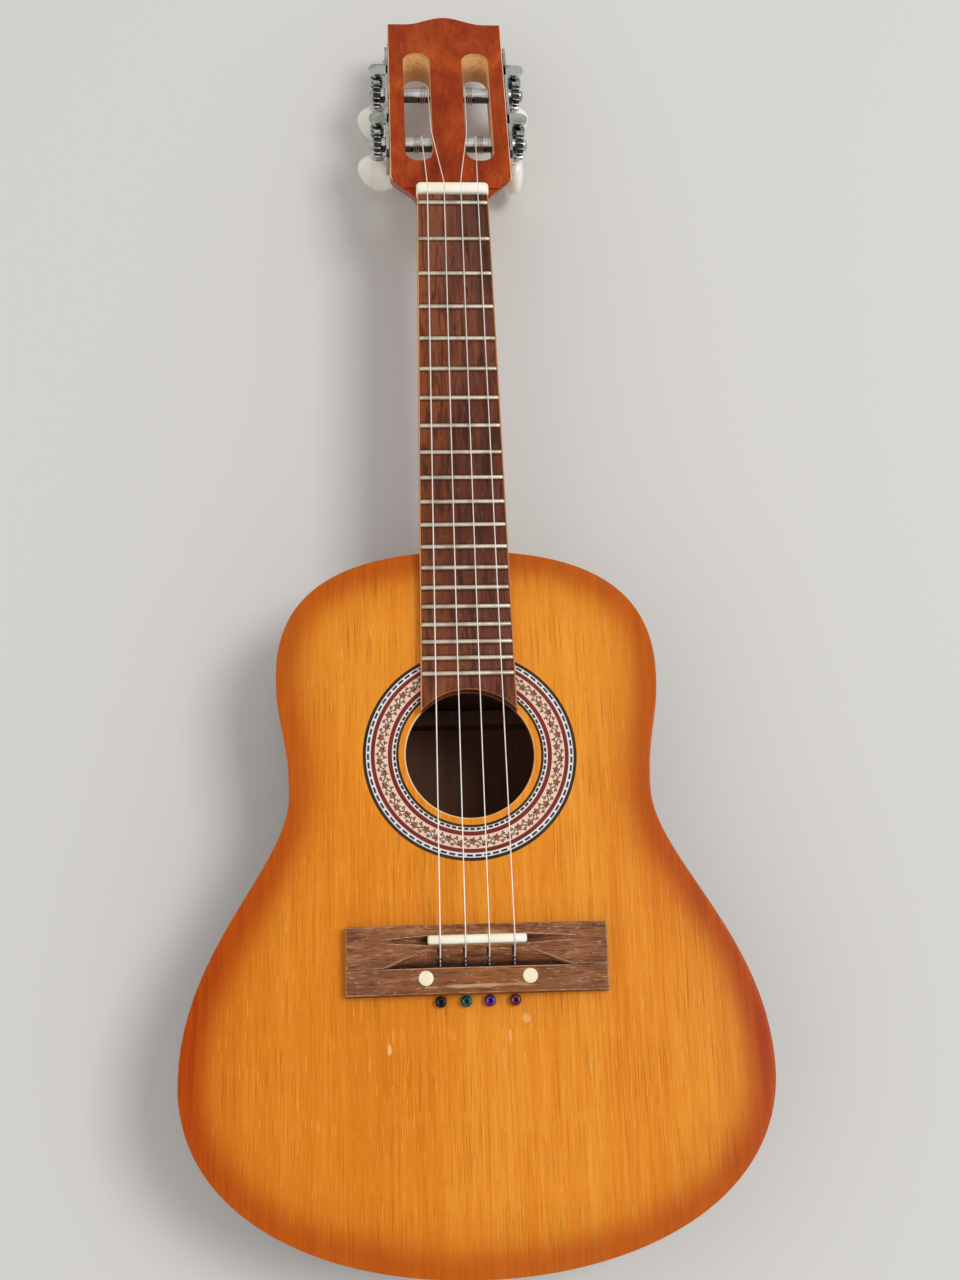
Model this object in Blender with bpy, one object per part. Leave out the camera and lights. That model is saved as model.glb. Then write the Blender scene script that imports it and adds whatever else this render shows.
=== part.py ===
# A cavaquinho: a four-string plucked instrument with a flat hollow body, a slotted head
# and open worm-and-gear machine heads.
#
# It lies on its back: +Z runs from the back plate to the soundboard, +Y to the head, and
# X runs across the strings. The origin is under the middle of the whole instrument.
# Along the strings, sizes are measured from the zero fret, towards the tail.

import math

import bmesh
import bpy
import numpy as np
from mathutils import Matrix, Vector

MM = 0.001
DEG = math.pi / 180

GAP = 0.3 * MM
OVERCUT = 4 * MM

# Strings and frets
SCALE_LENGTH = 340 * MM
SADDLE_SHORT_OF_SCALE = 3.5 * MM
FRET_COUNT = 19
BODY_JOINT_FRET = 12
FRET_WIDTH = 2.0 * MM
FRET_HEIGHT = 1.0 * MM
STRING_RADII = (0.24 * MM, 0.24 * MM, 0.25 * MM, 0.28 * MM)
STRING_SPACING_AT_NUT = 7.8 * MM
OUTER_STRINGS_AT_SADDLE = 29.4 * MM
INNER_STRINGS_AT_SADDLE = 9.4 * MM

# Body outline: widths and where they lie behind the neck joint
BODY_LENGTH = 292 * MM
BODY_DEPTH = 62 * MM
UPPER_BOUT_WIDTH = 160.8 * MM
UPPER_BOUT_PLACE = 55 * MM
WAIST_WIDTH = 149.4 * MM
WAIST_PLACE = 106 * MM
LOWER_BOUT_WIDTH = 233.8 * MM
LOWER_BOUT_PLACE = 217 * MM
SHOULDER_FLATNESS = 68 * MM
SHOULDER_ROUNDNESS = 26 * MM
WAIST_LEAD_IN = 21 * MM
WAIST_UPPER_ROUND = 24 * MM
WAIST_LOWER_ROUND = 28.6 * MM
HIP_LEAD_IN = 51 * MM
HIP_ROUNDNESS = 48.3 * MM
TAIL_FLATNESS = 63.3 * MM
SPAN_STEPS = (12, 6, 9, 13)

# Plates, ribs and what is glued inside
SOUNDBOARD_THICKNESS = 2.5 * MM
BACK_THICKNESS = 2.5 * MM
PLATE_EDGE_ROUND = 0.7 * MM
RIB_THICKNESS = 2.0 * MM
LINING_WIDTH = 5.0 * MM
LINING_HEIGHT = 11 * MM
LINING_TOE = 2.5 * MM
NECK_BLOCK_WIDTH = 62 * MM
NECK_BLOCK_LENGTH = 26 * MM
TAIL_BLOCK_WIDTH = 56 * MM
TAIL_BLOCK_LENGTH = 14 * MM
BRACE_WIDTH = 6.5 * MM
BRACE_HEIGHT = 10 * MM
BRACE_TIP_HEIGHT = 2.5 * MM
BRACE_TIP_LENGTH = 18 * MM
UPPER_BRACE_PLACE = 44 * MM
LOWER_BRACE_PLACE = 130 * MM
UPPER_BACK_BRACE_PLACE = 62 * MM
LOWER_BACK_BRACE_PLACE = 208 * MM
PATCH_WIDTH = 120 * MM
PATCH_LENGTH = 34 * MM
PATCH_THICKNESS = 2.5 * MM

# Soundhole and rosette
SOUNDHOLE_PLACE = 260 * MM
SOUNDHOLE_RADIUS = 26.6 * MM
ROSETTE_INNER_RADIUS = 29.6 * MM
ROSETTE_OUTER_RADIUS = 44.4 * MM
ROSETTE_THICKNESS = 0.8 * MM
HOLE_STEPS = 44

# Neck and fretboard
NECK_WIDTH_AT_NUT = 32.6 * MM
NECK_WIDTH_AT_LAST_FRET = 38.2 * MM
NECK_THICKNESS = 14 * MM
NECK_TAPER = 2 * MM
HEEL_LENGTH = 46 * MM
HEEL_END_HEIGHT = 1.5 * MM
HEEL_PINCH = 0.42
FRETBOARD_THICKNESS = 4.5 * MM
FRETBOARD_PAST_ZERO_FRET = 4.5 * MM
NUT_LENGTH = 5.5 * MM
NUT_HEIGHT = 6.9 * MM
NUT_WIDTH = 33.6 * MM
NUT_GROOVE_DROP = 0.5 * MM

# Slotted head, measured along its own tilted face from the step behind the nut
HEAD_TILT = 13 * DEG
HEAD_STEP = 1.0 * MM
HEAD_LENGTH = 121.8 * MM
HEAD_WIDTH = 57.2 * MM
HEAD_THICKNESS = 17 * MM
HEAD_CREST_HEIGHT = 5.3 * MM
HEAD_CREST_HALF_WIDTH = 20 * MM
HEAD_SHOULDER = 7.5 * MM
HEAD_ROOT = 9 * MM
SHOULDER_CARVE = 15 * MM
SLOT_WIDTH = 13.3 * MM
SLOT_START = 18.2 * MM
SLOT_END = 94.2 * MM
SLOT_CORNER = 5.2 * MM
CENTRE_RIB_WIDTH = 15.7 * MM
STRING_RAMP_START = 13.6 * MM
STRING_RAMP_DEPTH = 1.5 * MM
STRING_RAMP_LENGTH = 16 * MM
STRING_RAMP_INSET = 2 * MM
STRING_RAMP_CORNER = 3 * MM
INNER_STRING_BEND_PLACE = 37.5 * MM
INNER_STRING_BEND_HEIGHT = 0.5 * MM

# Bridge
BRIDGE_WIDTH = 104 * MM
BRIDGE_LENGTH = 27 * MM
BRIDGE_HEIGHT = 7.6 * MM
BRIDGE_TIP_HEIGHT = 5.2 * MM
BRIDGE_FLAT_WIDTH = 56 * MM
BRIDGE_EDGE_BEVEL = 0.6 * MM
BRIDGE_FRONT_TO_SADDLE = 6.2 * MM
SADDLE_LENGTH = 39.2 * MM
SADDLE_THICKNESS = 3.0 * MM
SADDLE_SEAT_DEPTH = 4.2 * MM
SADDLE_PROUD = 2.6 * MM
SADDLE_SLOT_RUN_OUT = 12 * MM
VALLEY_FRONT_BEHIND_SADDLE = 4.0 * MM
VALLEY_REAR_BEHIND_SADDLE = 10.5 * MM
VALLEY_DEPTH = 4.2 * MM
VALLEY_FRONT_WIDTH = 42 * MM
VALLEY_REAR_WIDTH = 78 * MM
VALLEY_FLOOR_WIDTH = 67 * MM
STRING_HOLE_RADIUS = 0.85 * MM
STRING_HOLE_FRONT_HEIGHT = 4.7 * MM
STRING_HOLE_REAR_HEIGHT = 2.8 * MM
STRING_HOLE_OVERRUN = 0.6 * MM
DOT_RADIUS = 2.9 * MM
DOT_SPACING = 41 * MM
DOT_BEFORE_REAR_EDGE = 6.2 * MM
DOT_THICKNESS = 1.6 * MM
DOT_DOME = 0.25 * MM
BEAD_RADIUS = 2.3 * MM
BEAD_BORE_RADIUS = 0.75 * MM
BEAD_HEIGHT = 3.2 * MM
BEAD_LIP = 0.5 * MM
BEAD_WAIST = 0.35 * MM

# Machine heads, in the head's own frame
ROLLER_RADIUS = 3.5 * MM
ROLLER_JOURNAL_RADIUS = 2.4 * MM
ROLLER_COLLAR_RADIUS = 3.6 * MM
ROLLER_DEPTH = 8.5 * MM
LOWER_ROLLER_PLACE = 38.3 * MM
UPPER_ROLLER_PLACE = 73.3 * MM
ROLLER_HOLE_ROOM = 0.8 * MM
RIB_SEAT_DEPTH = 3.2 * MM
TUNER_PLATE_LENGTH = 77 * MM
TUNER_PLATE_START = 24 * MM
TUNER_PLATE_THICKNESS = 1.3 * MM
TUNER_PLATE_INSET = 0.6 * MM
TUNER_PLATE_CORNER = 3 * MM
GEAR_TEETH = 16
GEAR_PITCH_RADIUS = 6.4 * MM
GEAR_WIDTH = 3.2 * MM
GEAR_FROM_PLATE = 2.6 * MM
TOOTH_HEIGHT = 1.2 * MM
TOOTH_TIP_WIDTH = 0.5 * MM
TOOTH_ROOT_WIDTH = 1.05 * MM
GEAR_SCREW_HEAD_RADIUS = 3.05 * MM
GEAR_SCREW_HEAD_HEIGHT = 2.3 * MM
GEAR_SCREW_RADIUS = 1.1 * MM
GEAR_SCREW_REACH = 3.5 * MM
WORM_PITCH_RADIUS = 3.0 * MM
WORM_TURNS = 3
WORM_SHAFT_RADIUS = 1.6 * MM
EAR_REACH = 8.1 * MM
EAR_WIDTH = 7.4 * MM
EAR_THICKNESS = 1.3 * MM
EAR_STEP = 0.3 * MM
WORM_NOSE = 1.2 * MM
WORM_NOSE_TAPER = 0.4 * MM
TANG_RADIUS = 1.28 * MM
COLLAR_RADIUS = 2.7 * MM
COLLAR_THICKNESS = 1.6 * MM
BUTTON_DEPTH = 25 * MM
BUTTON_LENGTH = 16.5 * MM
BUTTON_WIDTH = 19.5 * MM
BUTTON_THICKNESS = 8.0 * MM
BUTTON_SHAFT_REACH = 10 * MM
BUTTON_TURNS = (90 * DEG, 35 * DEG, 160 * DEG, 158 * DEG)
WRAP_TURNS = 3
WRAP_PITCH = 1.0 * MM
WRAP_POINTS = 24
WRAP_TAIL_DEPTH = 1.5 * MM

# Strings are numbered from the treble side, as a player counts them.
# Each entry gives the side of the head, the roller's place and where the string meets it.
OUTER_STRING_AT_ROLLER = 13.0 * MM
INNER_STRING_AT_ROLLER = 9.1 * MM
TUNERS = (
    (1, LOWER_ROLLER_PLACE, OUTER_STRING_AT_ROLLER),
    (1, UPPER_ROLLER_PLACE, INNER_STRING_AT_ROLLER),
    (-1, UPPER_ROLLER_PLACE, INNER_STRING_AT_ROLLER),
    (-1, LOWER_ROLLER_PLACE, OUTER_STRING_AT_ROLLER),
)

# Sizes worked out from those above
BODY_JOINT = SCALE_LENGTH * (1 - 2 ** (-BODY_JOINT_FRET / 12))
TAIL = BODY_JOINT + BODY_LENGTH
HEAD_START = FRETBOARD_PAST_ZERO_FRET + NUT_LENGTH + 2 * GAP
HEAD_REACH = HEAD_START + HEAD_LENGTH * math.cos(HEAD_TILT)
ZERO_FRET_Y = (TAIL - HEAD_REACH) / 2
TOP_Z = BODY_DEPTH
BOARD_Z = TOP_Z + GAP
FRET_TOP_Z = BOARD_Z + FRETBOARD_THICKNESS + FRET_HEIGHT
SOUNDHOLE_Y = ZERO_FRET_Y - SOUNDHOLE_PLACE
SADDLE_Y = ZERO_FRET_Y - SCALE_LENGTH + SADDLE_SHORT_OF_SCALE
BRIDGE_FRONT_Y = SADDLE_Y + BRIDGE_FRONT_TO_SADDLE
BRIDGE_REAR_Y = BRIDGE_FRONT_Y - BRIDGE_LENGTH
BRIDGE_Z = TOP_Z + GAP
BRIDGE_TOP_Z = BRIDGE_Z + BRIDGE_HEIGHT
SADDLE_TOP_Z = BRIDGE_TOP_Z + SADDLE_PROUD
LEAD = 2 * math.pi * GEAR_PITCH_RADIUS / GEAR_TEETH
CENTRE_DISTANCE = GEAR_PITCH_RADIUS + WORM_PITCH_RADIUS
WORM_OUTER_RADIUS = WORM_PITCH_RADIUS + TOOTH_HEIGHT / 3
WORM_ROOT_RADIUS = WORM_OUTER_RADIUS - TOOTH_HEIGHT
GEAR_OUTER_RADIUS = GEAR_PITCH_RADIUS + TOOTH_HEIGHT * 0.42
GEAR_ROOT_RADIUS = GEAR_OUTER_RADIUS - TOOTH_HEIGHT
SLOT_INNER = CENTRE_RIB_WIDTH / 2
SLOT_OUTER = SLOT_INNER + SLOT_WIDTH
PLATE_INNER = HEAD_WIDTH / 2 + GAP
PLATE_OUTER = PLATE_INNER + TUNER_PLATE_THICKNESS
GEAR_INNER = PLATE_OUTER + GEAR_FROM_PLATE
WORM_SIDE = GEAR_INNER + GEAR_WIDTH / 2
REAR_EAR_DEPTH = HEAD_THICKNESS - TUNER_PLATE_INSET


def clear_scene():
    for obj in list(bpy.data.objects):
        bpy.data.objects.remove(obj)


def make_material(name, colour, roughness, metallic=0.0):
    material = bpy.data.materials.new(name)
    material.use_nodes = True
    shader = material.node_tree.nodes["Principled BSDF"]
    shader.inputs["Base Color"].default_value = (*colour, 1.0)
    shader.inputs["Roughness"].default_value = roughness
    shader.inputs["Metallic"].default_value = metallic
    material.diffuse_color = (*colour, 1.0)
    return material


def add_object(name, data, material, parent=None, place=(0, 0, 0), turn=(0, 0, 0)):
    obj = bpy.data.objects.new(name, data)
    bpy.context.scene.collection.objects.link(obj)
    data.materials.append(material)
    obj.parent = parent
    obj.location = place
    obj.rotation_euler = turn
    return obj


def mesh_from(name, points, faces, smooth=True):
    """A mesh with its faces pointing out, shaded smooth between edges of less than 35 degrees."""
    mesh = bpy.data.meshes.new(name)
    mesh.from_pydata([tuple(point) for point in points], [], faces)
    work = bmesh.new()
    work.from_mesh(mesh)
    bmesh.ops.recalc_face_normals(work, faces=work.faces[:])
    work.to_mesh(mesh)
    work.free()
    if smooth:
        mesh.shade_smooth()
        mesh.set_sharp_from_angle(angle=35 * DEG)
    return mesh


def loft(name, rings, smooth=True):
    """A closed solid through rings that all have the same number of points."""
    count = len(rings[0])
    points = [point for ring in rings for point in ring]
    faces = [list(range(count)), list(range(len(points) - count, len(points)))]
    for row in range(len(rings) - 1):
        start = row * count
        for k in range(count):
            after = (k + 1) % count
            faces.append([start + k, start + after, start + count + after, start + count + k])
    return mesh_from(name, points, faces, smooth)


def tube_mesh(name, rings, smooth=True):
    """A closed ring-shaped solid: the rings run round it, and the last joins the first."""
    count = len(rings[0])
    points = [point for ring in rings for point in ring]
    faces = []
    for row in range(len(rings)):
        start = row * count
        beyond = (row + 1) % len(rings) * count
        for k in range(count):
            after = (k + 1) % count
            faces.append([start + k, start + after, beyond + after, beyond + k])
    return mesh_from(name, points, faces, smooth)


def flat_solid(name, outline, low, high, smooth=True):
    """An outline in X and Y, raised from one height to another."""
    rings = [[(x, y, z) for x, y in outline] for z in (low, high)]
    return loft(name, rings, smooth)


def circle(radius, steps, phase=0.0):
    angles = [phase + 2 * math.pi * k / steps for k in range(steps)]
    return [(radius * math.cos(angle), radius * math.sin(angle)) for angle in angles]


def turned_z(name, profile, steps, bore=False):
    """A solid turned round Z from (radius, height) points. With a bore, the profile is a loop."""
    rings = [[(x, y, height) for x, y in circle(radius, steps)] for radius, height in profile]
    return tube_mesh(name, rings) if bore else loft(name, rings)


def turned_x(name, profile, steps):
    rings = [[(along, x, y) for x, y in circle(radius, steps)] for radius, along in profile]
    return loft(name, rings)


def drill_z(name, radius, low, high, steps):
    return turned_z(name, [(radius, low), (radius, high)], steps)


def drill_x(name, radius, start, end, steps):
    return turned_x(name, [(radius, start), (radius, end)], steps)


def rod_mesh(name, start, end, radius, steps):
    """A round rod between two places."""
    way = (Vector(end) - Vector(start)).normalized()
    turn = way.to_track_quat("Z", "Y")
    rings = []
    for middle in (start, end):
        rings.append([Vector(middle) + turn @ Vector((x, y, 0)) for x, y in circle(radius, steps)])
    return loft(name, rings)


def add_cutter(name, mesh, parent=None, place=(0, 0, 0), turn=(0, 0, 0)):
    cutter = bpy.data.objects.new(name, mesh)
    bpy.context.scene.collection.objects.link(cutter)
    cutter.parent = parent
    cutter.location = place
    cutter.rotation_euler = turn
    cutter.hide_render = True
    cutter.display_type = "WIRE"
    return cutter


def combine(target, other, operation):
    modifier = target.modifiers.new(f"{operation.lower()} {other.name}", "BOOLEAN")
    modifier.operation = operation
    modifier.object = other


def box_mesh(name, low, high):
    outline = [(low[0], low[1]), (high[0], low[1]), (high[0], high[1]), (low[0], high[1])]
    return flat_solid(name, outline, low[2], high[2], smooth=False)


def string_curve(name, points, radius, material, parent=None):
    """A round wire through the points, as one unbroken tube with closed ends."""
    curve = bpy.data.curves.new(name, "CURVE")
    curve.dimensions = "3D"
    curve.bevel_depth = radius
    curve.bevel_resolution = 1
    curve.use_fill_caps = True
    spline = curve.splines.new("POLY")
    spline.points.add(len(points) - 1)
    for spot, point in zip(spline.points, points):
        spot.co = (*point, 1.0)
    return add_object(name, curve, material, parent)


# Body outline

def span(start, first_handle, last_handle, end, steps):
    """Points and outward normals of one Bezier span, without its last point."""
    knots = np.array([start, first_handle, last_handle, end])
    rows = []
    for k in range(steps):
        t = k / steps
        weights = np.array([(1 - t) ** 3, 3 * (1 - t) ** 2 * t, 3 * (1 - t) * t**2, t**3])
        slopes = np.array(
            [-((1 - t) ** 2), (1 - t) ** 2 - 2 * (1 - t) * t, 2 * (1 - t) * t - t**2, t**2]
        )
        point = weights @ knots
        along = slopes @ knots
        along = along / np.linalg.norm(along)
        rows.append((point, np.array([-along[1], along[0]])))
    return rows


def half_outline(inset=0.0):
    """The treble half of the body outline, from the neck joint round to the tail, moved inwards."""
    neck = -BODY_JOINT
    upper = (UPPER_BOUT_WIDTH / 2, neck - UPPER_BOUT_PLACE)
    waist = (WAIST_WIDTH / 2, neck - WAIST_PLACE)
    lower = (LOWER_BOUT_WIDTH / 2, neck - LOWER_BOUT_PLACE)
    spans = (
        ((0, neck), (SHOULDER_FLATNESS, neck), (upper[0], upper[1] + SHOULDER_ROUNDNESS), upper),
        (upper, (upper[0], upper[1] - WAIST_LEAD_IN), (waist[0], waist[1] + WAIST_UPPER_ROUND), waist),
        (waist, (waist[0], waist[1] - WAIST_LOWER_ROUND), (lower[0], lower[1] + HIP_LEAD_IN), lower),
        (lower, (lower[0], lower[1] - HIP_ROUNDNESS), (TAIL_FLATNESS, -TAIL), (0, -TAIL)),
    )
    rows = []
    for knots, steps in zip(spans, SPAN_STEPS):
        rows += span(*knots, steps)
    rows.append((np.array([0, -TAIL]), np.array([0, -1])))
    return [(x - inset * nx, ZERO_FRET_Y + y - inset * ny) for (x, y), (nx, ny) in rows]


def whole_outline(inset=0.0):
    half = half_outline(inset)
    return half + [(-x, y) for x, y in reversed(half[1:-1])]


def inside_half_width(y, inset):
    """Half the body's width at one place along it, inside a wall of the given thickness."""
    half = half_outline(inset)
    return float(np.interp(-y, [-point[1] for point in half], [point[0] for point in half]))


def cut_outline(half, limit, from_neck):
    """The stretch of a half outline nearest one end, out to a half width of limit."""
    rows = half if from_neck else list(reversed(half))
    kept = []
    for (x0, y0), (x1, y1) in zip(rows, rows[1:]):
        kept.append((x0, y0))
        if x1 > limit:
            share = (limit - x0) / (x1 - x0)
            kept.append((limit, y0 + share * (y1 - y0)))
            return kept
    return kept


# Body

def add_plates(materials):
    edge = PLATE_EDGE_ROUND
    rows = ((edge, 0), (0, edge), (0, BACK_THICKNESS))
    rings = [[(x, y, z) for x, y in whole_outline(inset)] for inset, z in rows]
    add_object("back_plate", loft("back_plate", rings), materials["body wood"])

    under = TOP_Z - SOUNDBOARD_THICKNESS
    rows = ((0, under), (0, TOP_Z - edge), (edge, TOP_Z))
    rings = [[(x, y, z) for x, y in whole_outline(inset)] for inset, z in rows]
    soundboard = add_object("soundboard", loft("soundboard", rings), materials["soundboard"])
    place = (0, SOUNDHOLE_Y, 0)
    hole = drill_z("soundhole", SOUNDHOLE_RADIUS, under - OVERCUT, TOP_Z + OVERCUT, HOLE_STEPS)
    combine(soundboard, add_cutter("cut soundhole", hole, place=place), "DIFFERENCE")
    floor = TOP_Z - ROSETTE_THICKNESS - GAP
    low, high = ROSETTE_INNER_RADIUS - GAP, ROSETTE_OUTER_RADIUS + GAP
    over = TOP_Z + OVERCUT
    profile = [(low, floor), (high, floor), (high, over), (low, over)]
    channel = turned_z("channel", profile, HOLE_STEPS, bore=True)
    combine(soundboard, add_cutter("cut rosette channel", channel, place=place), "DIFFERENCE")

    low, high = ROSETTE_INNER_RADIUS, ROSETTE_OUTER_RADIUS
    bottom = TOP_Z - ROSETTE_THICKNESS
    profile = [(low, bottom), (high, bottom), (high, TOP_Z), (low, TOP_Z)]
    ring = turned_z("rosette", profile, HOLE_STEPS, bore=True)
    add_object("rosette", ring, materials["rosette"], place=place)


def add_ribs(materials):
    low, high = BACK_THICKNESS + GAP, TOP_Z - SOUNDBOARD_THICKNESS - GAP
    outer, inner = half_outline(), half_outline(RIB_THICKNESS)
    for side, name in ((1, "rib_treble"), (-1, "rib_bass")):
        loop = outer + list(reversed(inner))
        loop = [(side * max(x, GAP / 2), y) for x, y in loop]
        add_object(name, flat_solid(name, loop, low, high), materials["body wood"])


def add_linings(materials):
    """Strips along the ribs' inner corners, thinner at the toe, between the two end blocks."""
    against_rib = half_outline(RIB_THICKNESS + GAP)
    inner = half_outline(RIB_THICKNESS + GAP + LINING_WIDTH)
    toe = half_outline(RIB_THICKNESS + GAP + LINING_TOE)
    neck_limit = NECK_BLOCK_WIDTH / 2 + GAP
    tail_limit = TAIL_BLOCK_WIDTH / 2 + GAP
    middle = ZERO_FRET_Y - BODY_JOINT - WAIST_PLACE
    rows = [
        k for k, (x, y) in enumerate(inner) if x > (neck_limit if y > middle else tail_limit)
    ]
    top = TOP_Z - SOUNDBOARD_THICKNESS - GAP
    bottom = BACK_THICKNESS + GAP
    for side, hand in ((1, "treble"), (-1, "bass")):
        for flat, reach, place in ((top, -LINING_HEIGHT, "top"), (bottom, LINING_HEIGHT, "back")):
            name = f"lining_{place}_{hand}"
            rings = []
            for k in rows:
                (ax, ay), (bx, by), (cx, cy) = against_rib[k], inner[k], toe[k]
                rings.append(
                    [
                        (side * ax, ay, flat),
                        (side * bx, by, flat),
                        (side * bx, by, flat + 0.35 * reach),
                        (side * cx, cy, flat + reach),
                        (side * ax, ay, flat + reach),
                    ]
                )
            add_object(name, loft(name, rings), materials["lining"])


def add_blocks(materials):
    low, high = BACK_THICKNESS + GAP, TOP_Z - SOUNDBOARD_THICKNESS - GAP
    wall = half_outline(RIB_THICKNESS + GAP)
    for name, width, length, from_neck in (
        ("neck_block", NECK_BLOCK_WIDTH, NECK_BLOCK_LENGTH, True),
        ("tail_block", TAIL_BLOCK_WIDTH, TAIL_BLOCK_LENGTH, False),
    ):
        edge = cut_outline(wall, width / 2, from_neck)
        inwards = -1 if from_neck else 1
        corner = 4 * MM
        inner_y = edge[0][1] + inwards * length
        half = edge + [(width / 2, inner_y - inwards * corner), (width / 2 - corner, inner_y)]
        loop = half + [(-x, y) for x, y in reversed(half) if x > 0]
        add_object(name, flat_solid(name, loop, low, high, smooth=False), materials["lining"])


def add_brace(name, place, flat, reach, width_inside, materials):
    """A bar across a plate, glued along its flat side, with its ends carved thin."""
    y = ZERO_FRET_Y - BODY_JOINT - place
    tip = width_inside - BRACE_TIP_LENGTH
    side = [
        (-width_inside, 0),
        (width_inside, 0),
        (width_inside, BRACE_TIP_HEIGHT),
        (tip, BRACE_HEIGHT),
        (-tip, BRACE_HEIGHT),
        (-width_inside, BRACE_TIP_HEIGHT),
    ]
    rings = []
    for across in (-BRACE_WIDTH / 2, BRACE_WIDTH / 2):
        rings.append([(x, y + across, flat + reach * height) for x, height in side])
    add_object(name, loft(name, rings, smooth=False), materials["brace"])


def add_braces(materials):
    under_top = TOP_Z - SOUNDBOARD_THICKNESS - GAP
    over_back = BACK_THICKNESS + GAP
    inset = RIB_THICKNESS + LINING_WIDTH + 2 * GAP
    rows = (
        ("soundboard_brace_upper", UPPER_BRACE_PLACE, under_top, -1),
        ("soundboard_brace_lower", LOWER_BRACE_PLACE, under_top, -1),
        ("back_brace_upper", UPPER_BACK_BRACE_PLACE, over_back, 1),
        ("back_brace_lower", LOWER_BACK_BRACE_PLACE, over_back, 1),
    )
    for name, place, flat, reach in rows:
        middle = ZERO_FRET_Y - BODY_JOINT - place
        edges = (middle - BRACE_WIDTH / 2, middle + BRACE_WIDTH / 2)
        width_inside = min(inside_half_width(y, inset) for y in edges) - GAP
        add_brace(name, place, flat, reach, width_inside, materials)

    corner = 8 * MM
    x, y = PATCH_WIDTH / 2, PATCH_LENGTH / 2
    loop = [(x, y - corner), (x - corner, y), (corner - x, y), (-x, y - corner)]
    loop += [(-x, corner - y), (corner - x, -y), (x - corner, -y), (x, corner - y)]
    middle = (BRIDGE_FRONT_Y + BRIDGE_REAR_Y) / 2
    patch = flat_solid("bridge_patch", loop, under_top - PATCH_THICKNESS, under_top, smooth=False)
    add_object("bridge_patch", patch, materials["brace"], place=(0, middle, 0))


# Neck and head

def fret_place(number):
    return SCALE_LENGTH * (1 - 2 ** (-number / 12))


def neck_half_width(along):
    """Half the neck's width at a distance from the zero fret, towards the body."""
    growth = (NECK_WIDTH_AT_LAST_FRET - NECK_WIDTH_AT_NUT) / fret_place(FRET_COUNT)
    return (NECK_WIDTH_AT_NUT + growth * along) / 2


def neck_ring(along, depth, pinch, steps=14):
    """One section of the neck: flat on top, rounded below, drawn in towards a deep heel."""
    half = neck_half_width(along)
    ring = []
    for k in range(steps + 1):
        angle = math.pi * k / steps
        cosine, sine = math.cos(angle), math.sin(angle)
        across = math.copysign(abs(cosine) ** 0.75, cosine)
        down = sine**0.85
        x = half * across * (1 - pinch * sine**1.5)
        ring.append((x, ZERO_FRET_Y - along, TOP_Z - depth * down))
    return ring


def neck_shaft():
    """The shaft and the heel, lofted from the head end to the face that meets the ribs."""
    joint = BODY_JOINT - GAP
    heel_start = joint - HEEL_LENGTH
    heel_depth = TOP_Z - HEEL_END_HEIGHT
    rings = []
    shaft_steps = 4
    for k in range(shaft_steps):
        share = k / shaft_steps
        along = -HEAD_START + share * (heel_start + HEAD_START)
        rings.append(neck_ring(along, NECK_THICKNESS + share * NECK_TAPER, 0))
    shaft_depth = NECK_THICKNESS + NECK_TAPER
    for share in (0, 0.3, 0.5, 0.65, 0.77, 0.86, 0.92, 0.965, 1):
        swell = share**3.2
        depth = shaft_depth + swell * (heel_depth - shaft_depth)
        rings.append(neck_ring(heel_start + share * HEEL_LENGTH, depth, HEEL_PINCH * swell))
    return loft("neck", rings)


def head_outline(carve):
    """The head's outline in its own frame. The back face starts further up, by the carve."""
    neck_half = neck_half_width(-HEAD_START)
    half = HEAD_WIDTH / 2
    corner = HEAD_LENGTH - HEAD_CREST_HEIGHT
    right = [(neck_half - GAP, carve - HEAD_ROOT - GAP)]
    for share in (0.0, 0.25, 0.5, 0.75, 1.0):
        ease = share * share * (3 - 2 * share)
        x = neck_half + ease * (half - neck_half)
        right.append((x, carve - HEAD_ROOT + share * (HEAD_SHOULDER + HEAD_ROOT)))
    right.append((half, corner))
    crest = []
    crest_steps = 10
    for k in range(crest_steps + 1):
        x = HEAD_CREST_HALF_WIDTH * (1 - 2 * k / crest_steps)
        rise = math.cos(math.pi * x / (2 * HEAD_CREST_HALF_WIDTH)) ** 2
        crest.append((x, corner + HEAD_CREST_HEIGHT * rise))
    left = [(-x, y) for x, y in reversed(right)]
    return right + crest + left


def rounded_slot(width, start, end, corner, steps=4):
    loop = []
    centres = (
        (width / 2 - corner, end - corner, 0),
        (corner - width / 2, end - corner, 1),
        (corner - width / 2, start + corner, 2),
        (width / 2 - corner, start + corner, 3),
    )
    for x, y, quarter in centres:
        for k in range(steps + 1):
            angle = math.pi / 2 * (quarter + k / steps)
            loop.append((x + corner * math.cos(angle), y + corner * math.sin(angle)))
    return loop


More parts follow.
